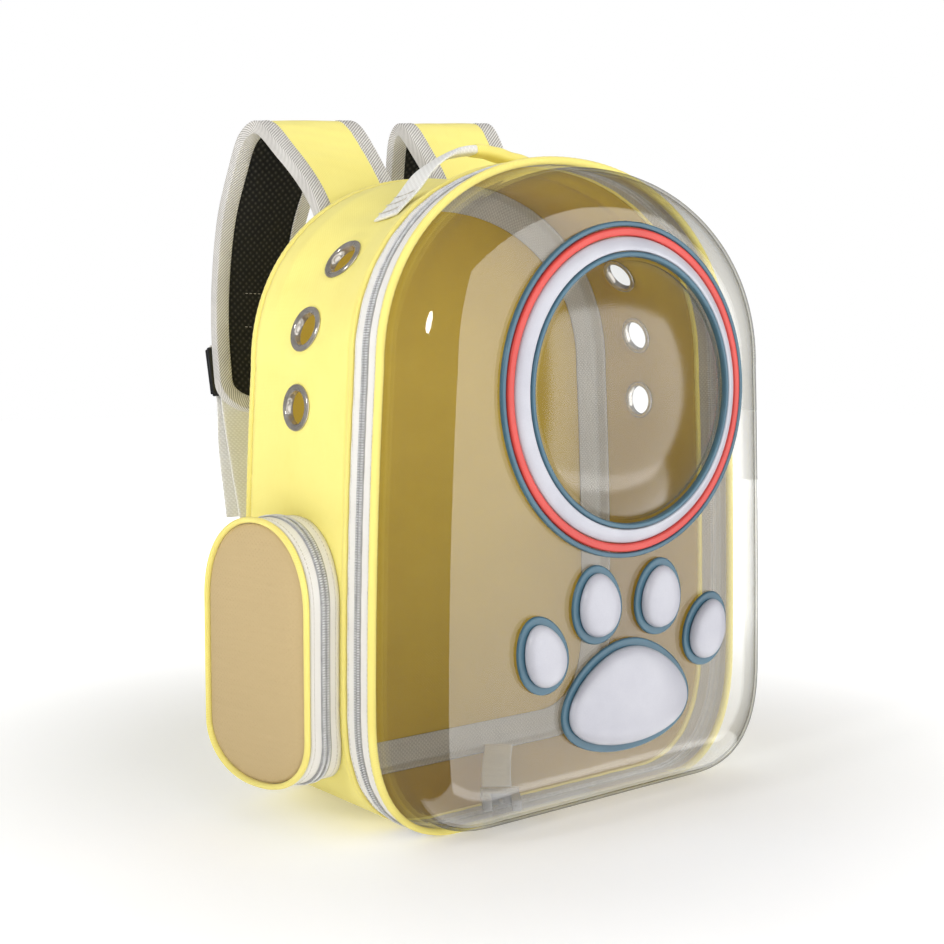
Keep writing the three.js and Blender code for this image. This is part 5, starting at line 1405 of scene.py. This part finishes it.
leash_weave = woven("leash_weave", tone(236, 234, 226), tone(170, 164, 154), (0.0022, 0.0022), lean=0.0,
                    slub=0.3, depth=0.0003, mottle=0.3)
smoke = moulded("smoky_plastic", tone(120, 116, 110), tone(92, 88, 84), 0.25, 0.0006, 0.4)

leash_line, _ = smooth_line(LEASH_ROUTE, LEASH_STEP)
leash_across = np.gradient(leash_line, axis=0)
leash_across = np.stack([leash_across[:, 1], -leash_across[:, 0], 0 * leash_across[:, 0]], 1)
leash_across /= np.linalg.norm(leash_across, axis=1)[:, None]
fitted(web("leash_web", leash_line, leash_across, LEASH_HALF, LEASH_THICK, leash_weave),
       "grey_webbing", "leash_webbing")
end_across = leash_across[-1]
end_out = np.cross(end_across, np.gradient(leash_line, axis=0)[-1])
end_out /= np.linalg.norm(end_out)
tack_lines = []
for back_by in (3, 5.5, 8):
    at = leash_line[-1 - int(back_by / LEASH_STEP)] + end_out * (LEASH_THICK + 0.05)
    row = np.array([at + end_across * a for a in np.linspace(-8.5, 8.5, 10)])
    tack_lines.append((metres(row), end_out, False))
fitted(grains("leash_tacks", tack_lines, {**STITCH, "Pitch": 1.2 * MM, "Long": 1.9 * MM, "Lean": 0.8},
              sewing_thread, 11), "grey_webbing")
forward = leash_line[-1] - leash_line[-4]
forward = np.array([forward[0], forward[1], 0]) / math.hypot(forward[0], forward[1])
clip_up = np.cross(end_across, forward)
clip_start = leash_line[-1] + forward * 0.6 + np.array([0, 0, CLIP_THICKNESS / 2 - LEASH_THICK])
clip_turn = Matrix((tuple(end_across), tuple(forward), tuple(clip_up))).transposed().to_4x4()
clip_frame = Matrix.Translation(Vector(body(*clip_start))) @ clip_turn @ Matrix.Scale(MM, 4)
prong, root = CLIP_WIDTH * 0.26, CLIP_LENGTH * 0.55
clip = blocks("leash_clip_body", [
    ((0, root / 2, 0), (CLIP_WIDTH, root, CLIP_THICKNESS)),
    ((-CLIP_WIDTH / 2 + prong / 2, CLIP_LENGTH / 2, 0), (prong, CLIP_LENGTH, CLIP_THICKNESS - 0.6)),
    ((CLIP_WIDTH / 2 - prong / 2, CLIP_LENGTH / 2, 0), (prong, CLIP_LENGTH, CLIP_THICKNESS - 0.6)),
    ((0, root + 3, 0), (4.0, 8.0, 3.0)),
], smoke, 1.4, clip_frame)
fitted(clip, "grey_plastic", "leash_clip")
